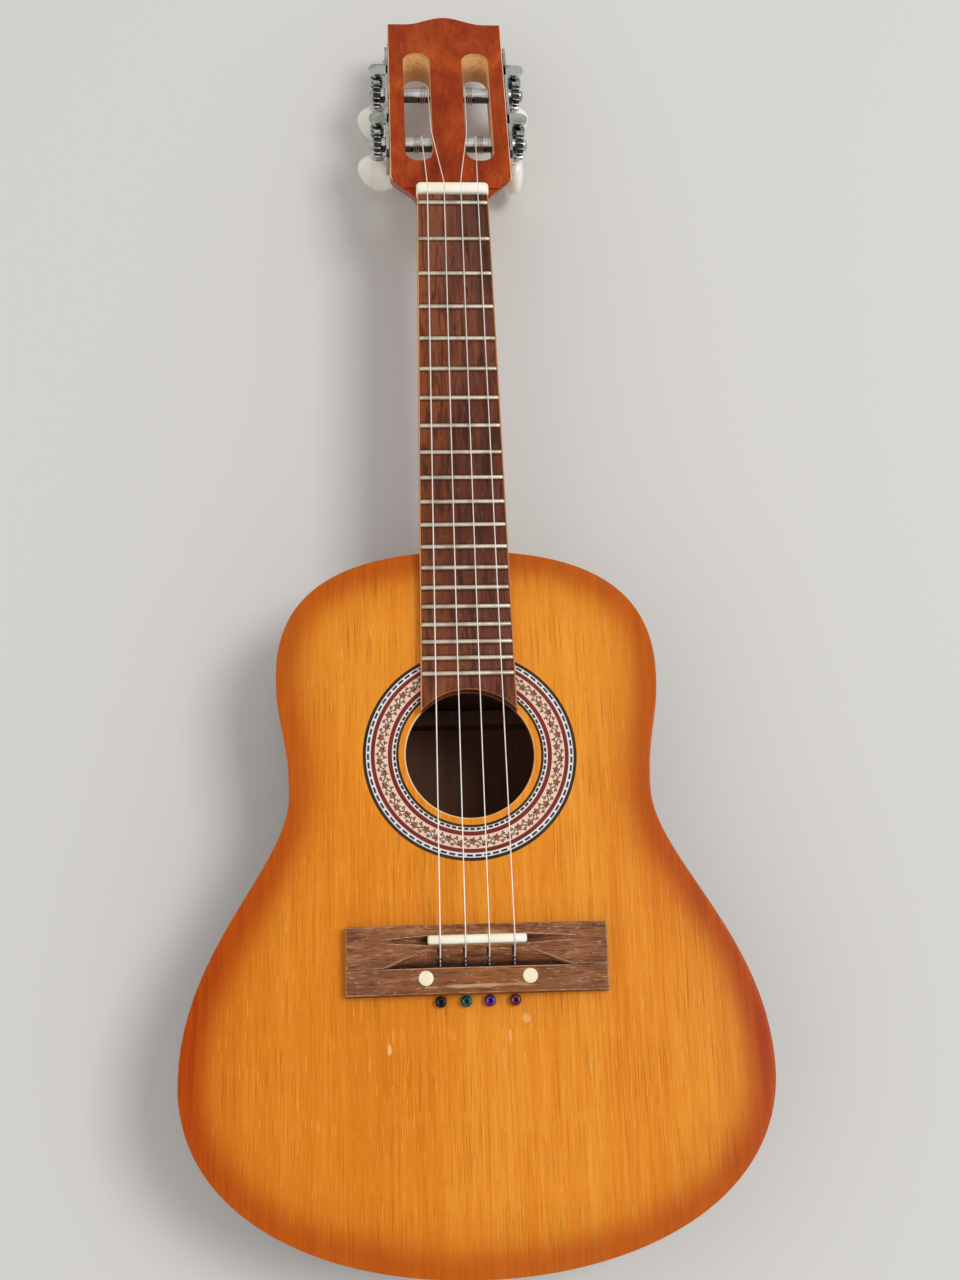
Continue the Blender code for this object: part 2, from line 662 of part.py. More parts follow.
def add_neck(materials, head_frame):
    neck = add_object("neck", neck_shaft(), materials["neck wood"])
    front = [(x, y, 0) for x, y in head_outline(0)]
    back = [(x, y, -HEAD_THICKNESS) for x, y in head_outline(SHOULDER_CARVE)]
    head = add_cutter("head blank", loft("head", [back, front]), head_frame)
    combine(neck, head, "UNION")
    step_y = ZERO_FRET_Y + HEAD_START
    low = (-HEAD_WIDTH, step_y - HEAD_WIDTH, TOP_Z)
    high = (HEAD_WIDTH, step_y, TOP_Z + HEAD_THICKNESS)
    combine(neck, add_cutter("cut nut seat", box_mesh("nut seat", low, high)), "DIFFERENCE")
    slot_middle = SLOT_INNER + SLOT_WIDTH / 2
    loop = rounded_slot(SLOT_WIDTH, SLOT_START, SLOT_END, SLOT_CORNER)
    slot = flat_solid("slot", loop, -HEAD_THICKNESS - OVERCUT, OVERCUT)
    ramp_tilt = math.atan2(STRING_RAMP_DEPTH, SLOT_START - STRING_RAMP_START)
    ramp_width = SLOT_WIDTH - 2 * STRING_RAMP_INSET
    loop = rounded_slot(ramp_width, 0, STRING_RAMP_LENGTH, STRING_RAMP_CORNER, 2)
    ramp = flat_solid("ramp", loop, 0, OVERCUT + STRING_RAMP_DEPTH)
    for side, hand in ((1, "treble"), (-1, "bass")):
        place = (side * slot_middle, 0, 0)
        combine(neck, add_cutter(f"cut slot {hand}", slot, head_frame, place), "DIFFERENCE")
        place = (side * slot_middle, STRING_RAMP_START, 0)
        cutter = add_cutter(f"cut ramp {hand}", ramp, head_frame, place, (-ramp_tilt, 0, 0))
        combine(neck, cutter, "DIFFERENCE")
    radius = ROLLER_JOURNAL_RADIUS + GAP
    inner, outer = SLOT_INNER - RIB_SEAT_DEPTH, HEAD_WIDTH / 2 + OVERCUT
    for number, (side, along, _) in enumerate(TUNERS, start=1):
        bore = drill_x(f"bore {number}", radius, side * inner, side * outer, 16)
        cutter = add_cutter(f"cut bore {number}", bore, head_frame, (0, along, -ROLLER_DEPTH))
        combine(neck, cutter, "DIFFERENCE")


def add_fretboard(materials):
    """The fretboard with its zero fret and its frets, cut to the soundhole's circle."""
    low, high = BOARD_Z, BOARD_Z + FRETBOARD_THICKNESS
    crown = ((-0.5, 0), (-0.32, 0.75), (0, 1), (0.32, 0.75), (0.5, 0))
    side = [(-FRETBOARD_PAST_ZERO_FRET, low), (-FRETBOARD_PAST_ZERO_FRET, high)]
    for number in range(FRET_COUNT + 1):
        for along, up in crown:
            side.append((fret_place(number) + along * FRET_WIDTH, high + up * FRET_HEIGHT))
    side += [(SOUNDHOLE_PLACE, high), (SOUNDHOLE_PLACE, low)]
    rings = []
    for hand in (1, -1):
        rings.append(
            [(hand * neck_half_width(along), ZERO_FRET_Y - along, z) for along, z in side]
        )
    board = add_object("fretboard", loft("fretboard", rings), materials["fretboard"])
    end = drill_z("board end", SOUNDHOLE_RADIUS, low - OVERCUT, high + OVERCUT, HOLE_STEPS)
    combine(board, add_cutter("cut board end", end, place=(0, SOUNDHOLE_Y, 0)), "DIFFERENCE")


def string_x(number, spread_outer, spread_inner):
    """Where a string lies across the instrument, from the outer pair's and inner pair's widths."""
    return (spread_outer / 2, spread_inner / 2, -spread_inner / 2, -spread_outer / 2)[number - 1]


def nut_string_x(number):
    return string_x(number, 3 * STRING_SPACING_AT_NUT, STRING_SPACING_AT_NUT)


def saddle_string_x(number):
    return string_x(number, OUTER_STRINGS_AT_SADDLE, INNER_STRINGS_AT_SADDLE)


def string_height_at_nut(number):
    return FRET_TOP_Z + GAP + STRING_RADII[number - 1]


def string_height_at_saddle(number):
    return SADDLE_TOP_Z + GAP + STRING_RADII[number - 1]


def add_nut(materials):
    """The nut: a bar with a rounded top and a groove for each string."""
    half = NUT_LENGTH / 2
    round_start = NUT_HEIGHT - half
    side = [(-half, 0)]
    for k in range(9):
        angle = math.pi * k / 8
        side.append((-half * math.cos(angle), round_start + half * math.sin(angle)))
    side.append((half, 0))
    middle = ZERO_FRET_Y + FRETBOARD_PAST_ZERO_FRET + GAP + half
    rings = [[(x, middle + y, BOARD_Z + z) for y, z in side] for x in (-NUT_WIDTH / 2, NUT_WIDTH / 2)]
    nut = add_object("nut", loft("nut", rings), materials["bone"])
    for number, radius in enumerate(STRING_RADII, start=1):
        x = nut_string_x(number)
        floor = string_height_at_nut(number) - radius - GAP - NUT_GROOVE_DROP
        reach = radius + GAP
        low = (x - reach, middle - 2 * half, floor)
        high = (x + reach, middle + 2 * half, BOARD_Z + NUT_HEIGHT + OVERCUT)
        groove = box_mesh("groove", low, high)
        combine(nut, add_cutter(f"cut groove {number}", groove), "DIFFERENCE")


# Bridge

def string_hole_ends(number):
    """Where a string enters the tie block, in the valley behind the saddle, and where it leaves."""
    x = saddle_string_x(number)
    wall_y = SADDLE_Y - VALLEY_REAR_BEHIND_SADDLE
    front = Vector((x, wall_y, BRIDGE_Z + STRING_HOLE_FRONT_HEIGHT))
    return front, Vector((x, BRIDGE_REAR_Y, BRIDGE_Z + STRING_HOLE_REAR_HEIGHT))


def valley_mesh():
    """The cut behind the saddle: a slope down to the tie block's upright front wall."""
    front_y = SADDLE_Y - VALLEY_FRONT_BEHIND_SADDLE
    rear_y = SADDLE_Y - VALLEY_REAR_BEHIND_SADDLE
    floor = BRIDGE_TOP_Z - VALLEY_DEPTH
    over = BRIDGE_TOP_Z + OVERCUT
    half_front, half_rear = VALLEY_FRONT_WIDTH / 2, VALLEY_REAR_WIDTH / 2
    half_floor = VALLEY_FLOOR_WIDTH / 2
    points = [(-half_floor, rear_y, floor), (half_floor, rear_y, floor)]
    for height in (BRIDGE_TOP_Z, over):
        points += [(-half_front, front_y, height), (half_front, front_y, height)]
        points += [(half_rear, rear_y, height), (-half_rear, rear_y, height)]
    faces = [[0, 1, 3, 2], [1, 0, 5, 4], [1, 4, 3], [0, 2, 5], [6, 7, 8, 9]]
    faces += [[2, 3, 7, 6], [3, 4, 8, 7], [4, 5, 9, 8], [5, 2, 6, 9]]
    return mesh_from("valley", points, faces, False)


def add_bridge(materials):
    tip, flat = BRIDGE_WIDTH / 2, BRIDGE_FLAT_WIDTH / 2
    edge = BRIDGE_EDGE_BEVEL
    rings = []
    for y, inset in (
        (BRIDGE_FRONT_Y, edge),
        (BRIDGE_FRONT_Y - edge, 0),
        (BRIDGE_REAR_Y + edge, 0),
        (BRIDGE_REAR_Y, edge),
    ):
        rings.append(
            [
                (-tip + inset, y, BRIDGE_Z),
                (-tip + inset, y, BRIDGE_Z + BRIDGE_TIP_HEIGHT - inset),
                (-flat, y, BRIDGE_TOP_Z - inset),
                (flat, y, BRIDGE_TOP_Z - inset),
                (tip - inset, y, BRIDGE_Z + BRIDGE_TIP_HEIGHT - inset),
                (tip - inset, y, BRIDGE_Z),
            ]
        )
    bridge = add_object("bridge", loft("bridge", rings, smooth=False), materials["bridge"])

    half = SADDLE_LENGTH / 2 + GAP
    run_out = half + SADDLE_SLOT_RUN_OUT
    ledge = BRIDGE_TOP_Z - 0.6 * SADDLE_SEAT_DEPTH
    seat = BRIDGE_TOP_Z - SADDLE_SEAT_DEPTH
    over = BRIDGE_TOP_Z + OVERCUT
    side = [(-run_out, over), (-run_out, BRIDGE_TOP_Z), (-half, ledge), (-half, seat)]
    side += [(-x, z) for x, z in reversed(side)]
    reach = SADDLE_THICKNESS / 2 + GAP
    rings = [[(x, SADDLE_Y + y, z) for x, z in side] for y in (-reach, reach)]
    combine(bridge, add_cutter("cut saddle slot", loft("saddle slot", rings)), "DIFFERENCE")

    combine(bridge, add_cutter("cut valley", valley_mesh()), "DIFFERENCE")

    for number in range(1, 5):
        front, rear = string_hole_ends(number)
        beyond = (front - rear).normalized() * STRING_HOLE_OVERRUN
        hole = rod_mesh("string hole", rear - beyond, front + beyond, STRING_HOLE_RADIUS, 10)
        combine(bridge, add_cutter(f"cut string hole {number}", hole), "DIFFERENCE")

    dot_y = BRIDGE_REAR_Y + DOT_BEFORE_REAR_EDGE
    seat_radius = DOT_RADIUS + GAP
    for side, hand in ((1, "treble"), (-1, "bass")):
        place = (side * DOT_SPACING / 2, dot_y, BRIDGE_TOP_Z)
        seat = drill_z("dot seat", seat_radius, -DOT_THICKNESS - GAP, OVERCUT, 20)
        combine(bridge, add_cutter(f"cut dot {hand}", seat, place=place), "DIFFERENCE")
        profile = [(DOT_RADIUS, -DOT_THICKNESS), (DOT_RADIUS, 0), (0.7 * DOT_RADIUS, DOT_DOME)]
        name = f"bridge_dot_{hand}"
        add_object(name, turned_z(name, profile, 20), materials["bone"], place=place)

    half = SADDLE_THICKNESS / 2
    height = SADDLE_TOP_Z - seat_bottom()
    side = [(-half, 0)]
    for k in range(7):
        angle = math.pi * k / 6
        side.append((-half * math.cos(angle), height - half + half * math.sin(angle)))
    side.append((half, 0))
    rings = []
    for x in (-SADDLE_LENGTH / 2, SADDLE_LENGTH / 2):
        rings.append([(x, SADDLE_Y + y, seat_bottom() + z) for y, z in side])
    add_object("saddle", loft("saddle", rings), materials["bone"])


def seat_bottom():
    return BRIDGE_TOP_Z - SADDLE_SEAT_DEPTH + GAP


# Machine heads

def tooth_edges(tip, root, height):
    """One tooth or thread section: (share of a pitch either side of its middle, height)."""
    return ((-root / 2, 0.0), (-tip / 2, height), (tip / 2, height), (root / 2, 0.0))


def gear_mesh(name, twist):
    """A worm gear with twisted teeth and a bore for its screw, turned about X."""
    profile = []
    for tooth in range(GEAR_TEETH):
        middle = 2 * math.pi * tooth / GEAR_TEETH
        for across, up in tooth_edges(TOOTH_TIP_WIDTH, TOOTH_ROOT_WIDTH, TOOTH_HEIGHT):
            radius = GEAR_ROOT_RADIUS + up
            profile.append((radius, middle + across / radius))
    bore = GEAR_SCREW_RADIUS + GAP
    rings = []
    for share in (-0.5, 0.5):
        turn = share * twist
        rings.append(
            [
                (share * GEAR_WIDTH, radius * math.cos(angle + turn), radius * math.sin(angle + turn))
                for radius, angle in profile
            ]
        )
    count = len(profile)
    points = rings[0] + rings[1]
    for share in (-0.5, 0.5):
        for radius, angle in profile:
            middle = 2 * math.pi * round(angle * GEAR_TEETH / (2 * math.pi)) / GEAR_TEETH
            points.append((share * GEAR_WIDTH, bore * math.cos(middle), bore * math.sin(middle)))
    faces = []
    for k in range(count):
        after = (k + 1) % count
        faces.append([k, after, count + after, count + k])
        faces.append([2 * count + k, 2 * count + after, 3 * count + after, 3 * count + k])
        faces.append([k, after, 2 * count + after, 2 * count + k])
        faces.append([count + k, count + after, 3 * count + after, 3 * count + k])
    mesh = bpy.data.meshes.new(name)
    mesh.from_pydata(points, [], faces)
    work = bmesh.new()
    work.from_mesh(mesh)
    bmesh.ops.remove_doubles(work, verts=work.verts[:], dist=0.01 * MM)
    bmesh.ops.recalc_face_normals(work, faces=work.faces[:])
    work.to_mesh(mesh)
    work.free()
    return mesh


def worm_mesh(name, steps=10):
    """A shaft with a right-handed thread of whole turns, the collar behind and the button's tang.

    Heights run along the shaft from the middle of the thread, towards the head's front face.
    """
    rows = [(across, WORM_ROOT_RADIUS + up) for across, up in
            tooth_edges(TOOTH_TIP_WIDTH, TOOTH_ROOT_WIDTH, TOOTH_HEIGHT)]
    start = -WORM_TURNS * LEAD / 2
    last = WORM_TURNS * steps
    points, faces = [], []

    def ring(radius, height):
        points.extend((x, y, height) for x, y in circle(radius, steps))
        return [len(points) - steps + k for k in range(steps)]

    def join(low, high):
        for k in range(steps):
            after = (k + 1) % steps
            faces.append([low[k], low[after], high[after], high[k]])

    front = ROLLER_DEPTH - TUNER_PLATE_INSET - EAR_THICKNESS - GAP
    root_end = WORM_TURNS * LEAD / 2 + TOOTH_ROOT_WIDTH
    rear = ROLLER_DEPTH - REAR_EAR_DEPTH - GAP
    button = ROLLER_DEPTH - BUTTON_DEPTH
    tang_end = button - BUTTON_SHAFT_REACH
    low_rings = [
        ring(TANG_RADIUS, tang_end),
        ring(TANG_RADIUS, button + GAP),
        ring(COLLAR_RADIUS, button + GAP),
        ring(COLLAR_RADIUS, button + GAP + COLLAR_THICKNESS),
        ring(WORM_SHAFT_RADIUS, button + GAP + COLLAR_THICKNESS),
        ring(WORM_SHAFT_RADIUS, rear + 2 * GAP + EAR_THICKNESS),
        ring(WORM_ROOT_RADIUS, rear + 2 * GAP + EAR_THICKNESS),
        ring(WORM_ROOT_RADIUS, -root_end),
    ]
    high_rings = [
        ring(WORM_ROOT_RADIUS, root_end),
        ring(WORM_ROOT_RADIUS, front - WORM_NOSE),
        ring(WORM_SHAFT_RADIUS, front - WORM_NOSE + WORM_NOSE_TAPER),
        ring(WORM_SHAFT_RADIUS, front),
    ]
    faces.append(low_rings[0])
    faces.append(high_rings[-1])
    for low, high in zip(low_rings, low_rings[1:]):
        join(low, high)
    for low, high in zip(high_rings, high_rings[1:]):
        join(low, high)

    thread = []
    for k in range(last + 1):
        angle = 2 * math.pi * k / steps
        height = start + LEAD * k / steps
        row = []
        for across, radius in rows:
            points.append((radius * math.cos(angle), radius * math.sin(angle), height + across))
            row.append(len(points) - 1)
        thread.append(row)
    faces.append(thread[0])
    faces.append(thread[-1])
    for k in range(last):
        here, there = thread[k], thread[k + 1]
        for edge in range(3):
            faces.append([here[edge], here[edge + 1], there[edge + 1], there[edge]])
    for k in range(last - steps):
        above, beyond = thread[k + steps], thread[k + steps + 1]
        faces.append([thread[k][3], thread[k + 1][3], beyond[0], above[0]])
    bottom, top = low_rings[-1], high_rings[0]
    for k in range(steps):
        after = (k + 1) % steps
        low_face = [bottom[k], bottom[after], thread[k + 1][0], thread[k][0]]
        high_face = [top[k], top[after], thread[last - steps + k + 1][3], thread[last - steps + k][3]]
        if k == steps - 1:
            low_face = [bottom[k], bottom[0], thread[0][0], thread[0][3], thread[steps][0], thread[k][0]]
        if k == 0:
            high_face = [
                top[0], top[1], thread[last - steps + 1][3], thread[last - steps][3], thread[last][0],
                thread[last][3],
            ]
        faces.append(low_face)
        faces.append(high_face)
    return mesh_from(name, points, faces)


def button_mesh(name):
    """A flattened oval knob with a bore for the shaft's tang."""
    steps = 16
    rings = []
    for share in (0.0, 0.04, 0.16, 0.34, 0.55, 0.75, 0.9, 0.98):
        fullness = math.sqrt(max(1 - (2 * share - 1) ** 2, 0))
        fullness = max(fullness, 0.42 if share < 0.5 else 0.2)
        half_width = BUTTON_WIDTH / 2 * fullness
        half_thickness = BUTTON_THICKNESS / 2 * (0.45 + 0.55 * fullness)
        height = -share * BUTTON_LENGTH
        rings.append([(half_width * x, half_thickness * y, height) for x, y in circle(1, steps)])
    return loft(name, rings)


def add_tuner_plates(materials, head_frame):
    for side, hand in ((1, "treble"), (-1, "bass")):
        edge = TUNER_PLATE_INSET
        depth_low, depth_high = -HEAD_THICKNESS + edge, -edge
        start, end = TUNER_PLATE_START, TUNER_PLATE_START + TUNER_PLATE_LENGTH
        corner = TUNER_PLATE_CORNER
        loop = [
            (start, depth_low + corner),
            (start + corner, depth_low),
            (end - corner, depth_low),
            (end, depth_low + corner),
            (end, depth_high - corner),
            (end - corner, depth_high),
            (start + corner, depth_high),
            (start, depth_high - corner),
        ]
        rings = [[(side * x, y, z) for y, z in loop] for x in (PLATE_INNER, PLATE_OUTER)]
        name = f"tuner_plate_{hand}"
        plate = add_object(name, loft(name, rings, smooth=False), materials["nickel"], head_frame)
        for level, roller_place in (("lower", LOWER_ROLLER_PLACE), ("upper", UPPER_ROLLER_PLACE)):
            worm_place = roller_place + CENTRE_DISTANCE
            tail = f"{level} {hand}"
            fronts = (("front", -edge + EAR_STEP), ("rear", depth_low + EAR_THICKNESS - EAR_STEP))
            for end_name, ear_front in fronts:
                ear = ear_mesh(side, worm_place, ear_front)
                combine(plate, add_cutter(f"{end_name} ear {tail}", ear, head_frame), "UNION")
            shaft_hole = drill_z("shaft hole", WORM_SHAFT_RADIUS + GAP, -OVERCUT, OVERCUT, 14)
            place = (side * WORM_SIDE, worm_place, depth_low)
            combine(plate, add_cutter(f"cut shaft {tail}", shaft_hole, head_frame, place), "DIFFERENCE")
            bush = drill_x("bush", ROLLER_JOURNAL_RADIUS + GAP, -OVERCUT, OVERCUT, 16)
            place = (side * PLATE_OUTER, roller_place, -ROLLER_DEPTH)
            combine(plate, add_cutter(f"cut bush {tail}", bush, head_frame, place), "DIFFERENCE")


def ear_mesh(side, worm_place, front):
    """One ear of a tuner plate: a tab with a round end that carries the worm's shaft."""
    half = EAR_WIDTH / 2
    root = PLATE_INNER + 0.5 * TUNER_PLATE_THICKNESS
    tip = PLATE_OUTER + EAR_REACH
    loop = [(root, worm_place - half)]
    for k in range(9):
        angle = math.pi * (k / 8 - 0.5)
        loop.append((tip - half + half * math.cos(angle), worm_place + half * math.sin(angle)))
    loop.append((root, worm_place + half))
    loop = [(side * x, y) for x, y in loop]
    return flat_solid("ear", loop, front - EAR_THICKNESS, front)


def roller_mesh(name, side):
    """A string roller, from its seat in the centre rib out to the gear."""
    seat_end = SLOT_INNER - RIB_SEAT_DEPTH + GAP
    barrel_start, barrel_end = SLOT_INNER + GAP, SLOT_OUTER - GAP
    profile = [
        (ROLLER_JOURNAL_RADIUS, seat_end),
        (ROLLER_JOURNAL_RADIUS, barrel_start),
        (ROLLER_RADIUS, barrel_start),
        (ROLLER_RADIUS, barrel_end),
        (ROLLER_JOURNAL_RADIUS, barrel_end),
        (ROLLER_JOURNAL_RADIUS, PLATE_OUTER + GAP),
        (ROLLER_COLLAR_RADIUS, PLATE_OUTER + GAP),
        (ROLLER_COLLAR_RADIUS, GEAR_INNER - GAP),
    ]
    return turned_x(name, [(radius, side * along) for radius, along in profile], 14)


def wrap_points(side, string_at_roller, radius):
    """The path of a string's turns: out of the roller's hole, round it, and off at a tangent."""
    wind_radius = ROLLER_RADIUS + GAP + radius
    start = string_at_roller + 2 * radius + 2 * GAP
    finish = start + WRAP_TURNS * WRAP_PITCH
    path = []
    for depth in (wind_radius - WRAP_TAIL_DEPTH, wind_radius - WRAP_TAIL_DEPTH + 2 * radius):
        path.append((finish, depth, 0.0))
    path.append((finish, wind_radius - 0.35 * MM, 0.05))
    path.append((finish, wind_radius - 0.06 * MM, 0.16))
    for k in range(WRAP_TURNS * WRAP_POINTS + 1):
        turns = k / WRAP_POINTS
        path.append((finish - WRAP_PITCH * turns, wind_radius, 0.3 + 2 * math.pi * turns))
    points = []
    for along, reach, angle in path:
        points.append(Vector((side * along, reach * math.cos(angle), -reach * math.sin(angle))))
    last_way = (points[-1] - points[-2]).normalized()
    points.append(points[-1] + last_way * 2 * radius)
    return points


def print_least_gap(name, points, radius):
    """Prints how near a winding comes to itself, between places over half a turn apart."""
    spots = np.array([tuple(point) for point in points])
    apart = np.linalg.norm(spots[:, None] - spots[None], axis=2)
    far = np.abs(np.subtract.outer(np.arange(len(spots)), np.arange(len(spots)))) > WRAP_POINTS / 2
    print(f"{name}: least gap to itself {(apart[far].min() - 2 * radius) / MM:.2f} mm")


def add_machine_heads(materials, head_frame):
    add_tuner_plates(materials, head_frame)
    lead_angle = math.atan2(LEAD, 2 * math.pi * WORM_PITCH_RADIUS)
    twist = GEAR_WIDTH * math.tan(lead_angle) / GEAR_PITCH_RADIUS
    for number, (side, roller_place, string_at_roller) in enumerate(TUNERS, start=1):
        radius = STRING_RADII[number - 1]
        axle = bpy.data.objects.new(f"roller axis {number}", None)
        shaft = bpy.data.objects.new(f"worm axis {number}", None)
        for empty in (axle, shaft):
            bpy.context.scene.collection.objects.link(empty)
            empty.parent = head_frame
        axle.location = (0, roller_place, -ROLLER_DEPTH)
        shaft.location = (side * WORM_SIDE, roller_place + CENTRE_DISTANCE, -ROLLER_DEPTH)

        name = f"roller_{number}"
        roller = add_object(name, roller_mesh(name, side), materials["steel"], axle)
        hole_radius = ROLLER_HOLE_ROOM + radius
        reach = ROLLER_RADIUS + GAP
        hole = drill_z("string hole", hole_radius, -reach, reach, 8)
        wrap_start = string_at_roller + 2 * radius + 2 * GAP + WRAP_TURNS * WRAP_PITCH
        cutter = add_cutter(
            f"cut roller hole {number}", hole, axle, (side * wrap_start, 0, 0), (math.pi / 2, 0, 0)
        )
        combine(roller, cutter, "DIFFERENCE")
        seat_radius = GEAR_SCREW_RADIUS + GAP
        seat_end = GEAR_INNER - GAP - GEAR_SCREW_REACH - GAP
        seat = drill_x("seat", seat_radius, side * seat_end, side * (GEAR_INNER + GAP), 12)
        combine(roller, add_cutter(f"cut screw seat {number}", seat, axle), "DIFFERENCE")

        gear = gear_mesh(f"gear_{number}", twist)
        phase = (1.25 - WORM_TURNS / 2) * 2 * math.pi / GEAR_TEETH
        place = (side * WORM_SIDE, 0, 0)
        add_object(f"gear_{number}", gear, materials["nickel"], axle, place, (phase, 0, 0))

        gear_outer = GEAR_INNER + GEAR_WIDTH
        head_start = gear_outer + GAP
        profile = [
            (GEAR_SCREW_RADIUS, seat_end + GAP),
            (GEAR_SCREW_RADIUS, head_start),
            (GEAR_SCREW_HEAD_RADIUS, head_start),
            (GEAR_SCREW_HEAD_RADIUS, head_start + 0.7 * GEAR_SCREW_HEAD_HEIGHT),
            (0.75 * GEAR_SCREW_HEAD_RADIUS, head_start + GEAR_SCREW_HEAD_HEIGHT),
        ]
        name = f"gear_screw_{number}"
        mesh = turned_x(name, [(reach, side * along) for reach, along in profile], 12)
        add_object(name, mesh, materials["nickel"], axle)

        points = wrap_points(side, string_at_roller, radius)
        print_least_gap(f"string_wrap_{number}", points, radius)
        string_curve(f"string_wrap_{number}", points, radius, materials["string"], axle)

        add_object(f"worm_{number}", worm_mesh(f"worm_{number}"), materials["nickel"], shaft)
        name = f"button_{number}"
        place = (0, 0, ROLLER_DEPTH - BUTTON_DEPTH)
        turn = (0, 0, BUTTON_TURNS[number - 1])
        button = add_object(name, button_mesh(name), materials["button"], shaft, place, turn)
        bore = drill_z("button bore", TANG_RADIUS + GAP, -BUTTON_SHAFT_REACH - GAP, OVERCUT, 12)
        combine(button, add_cutter(f"cut button {number}", bore, shaft, place), "DIFFERENCE")


# Strings

def head_point(head_matrix, x, along, height):
    """A place in the head's frame, as a place on the instrument."""
    return head_matrix @ Vector((x, along, height))


def add_strings(materials, head_matrix):
    nut_y = ZERO_FRET_Y + HEAD_START
    bead_colours = ("plum", "purple", "green", "navy")
    for number, (side, roller_place, string_at_roller) in enumerate(TUNERS, start=1):
        radius = STRING_RADII[number - 1]
        wind_radius = ROLLER_RADIUS + GAP + radius
        saddle_x = saddle_string_x(number)
        nut_x = nut_string_x(number)
        at_fret = string_height_at_nut(number)
        at_saddle = string_height_at_saddle(number)
        off_nut = Vector((nut_x, nut_y, at_fret - 0.3 * MM))

        points = []
        for angle in (60, 40, 20, 0):
            turn = angle * DEG
            points.append(
                head_point(
                    head_matrix,
                    side * string_at_roller,
                    roller_place + wind_radius * math.sin(turn),
                    -ROLLER_DEPTH + wind_radius * math.cos(turn),
                )
            )
        if abs(nut_x) < SLOT_INNER:
            edge_x = side * (SLOT_INNER + GAP + radius + 0.1 * MM)
            points.append(
                head_point(head_matrix, edge_x, INNER_STRING_BEND_PLACE, INNER_STRING_BEND_HEIGHT)
            )
        points.append(off_nut)
        points.append(Vector((nut_x, ZERO_FRET_Y, at_fret)))
        points.append(Vector((saddle_x, SADDLE_Y, at_saddle)))
        front, rear = string_hole_ends(number)
        slope = (rear - front).normalized()
        points.append(Vector((saddle_x, SADDLE_Y - 1.2 * MM, at_saddle - 0.3 * MM)))
        points.append(front + Vector((0, 0, 0.25 * MM)) - slope * 0.3 * MM)
        points.append(front + slope * 1.5 * MM)
        points.append(rear - slope * 0.3 * MM)
        string_curve(f"string_{number}", points, radius, materials["string"])

        half = BEAD_HEIGHT / 2
        profile = [
            (BEAD_BORE_RADIUS, -half),
            (BEAD_RADIUS - BEAD_LIP, -half),
            (BEAD_RADIUS, -0.6 * half),
            (BEAD_RADIUS - BEAD_WAIST, 0),
            (BEAD_RADIUS, 0.6 * half),
            (BEAD_RADIUS - BEAD_LIP, half),
            (BEAD_BORE_RADIUS, half),
        ]
        name = f"string_bead_{number}"
        place = (saddle_x, BRIDGE_REAR_Y - GAP - BEAD_RADIUS, TOP_Z + GAP + half)
        mesh = turned_z(name, profile, 10, bore=True)
        add_object(name, mesh, materials[bead_colours[number - 1]], place=place)


def make_materials():
    return {
        "soundboard": make_material("soundboard", (0.70, 0.26, 0.035), 0.25),
        "body wood": make_material("body wood", (0.30, 0.075, 0.02), 0.3),
        "lining": make_material("lining", (0.55, 0.38, 0.2), 0.7),
        "brace": make_material("brace", (0.62, 0.46, 0.27), 0.7),
        "rosette": make_material("rosette", (0.62, 0.45, 0.34), 0.35),
        "neck wood": make_material("neck wood", (0.35, 0.07, 0.015), 0.3),
        "fretboard": make_material("fretboard", (0.13, 0.045, 0.025), 0.5),
        "bridge": make_material("bridge", (0.2, 0.09, 0.05), 0.6),
        "bone": make_material("bone", (0.85, 0.78, 0.58), 0.4),
        "string": make_material("string", (0.75, 0.75, 0.74), 0.25, 1.0),
        "nickel": make_material("nickel", (0.6, 0.6, 0.56), 0.25, 1.0),
        "steel": make_material("steel", (0.62, 0.61, 0.6), 0.35, 1.0),
        "button": make_material("button", (0.85, 0.8, 0.68), 0.3),
        "navy": make_material("navy", (0.01, 0.012, 0.03), 0.25, 0.6),
        "green": make_material("green", (0.0, 0.11, 0.1), 0.25, 0.6),
        "purple": make_material("purple", (0.09, 0.02, 0.22), 0.25, 0.6),
        "plum": make_material("plum", (0.14, 0.02, 0.12), 0.25, 0.6),
    }


def main():
    clear_scene()
    materials = make_materials()
    head_frame = bpy.data.objects.new("head frame", None)
    bpy.context.scene.collection.objects.link(head_frame)
    head_frame.location = (0, ZERO_FRET_Y + HEAD_START, TOP_Z + HEAD_STEP)
    head_frame.rotation_euler = (-HEAD_TILT, 0, 0)
    head_matrix = Matrix.Translation(head_frame.location) @ Matrix.Rotation(-HEAD_TILT, 4, "X")

    add_plates(materials)
    add_ribs(materials)
    add_linings(materials)
    add_blocks(materials)
    add_braces(materials)
    add_neck(materials, head_frame)
    add_fretboard(materials)
    add_nut(materials)
    add_bridge(materials)
    add_machine_heads(materials, head_frame)
    add_strings(materials, head_matrix)


main()
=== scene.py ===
import math

import bpy
from mathutils import Matrix, Vector, noise


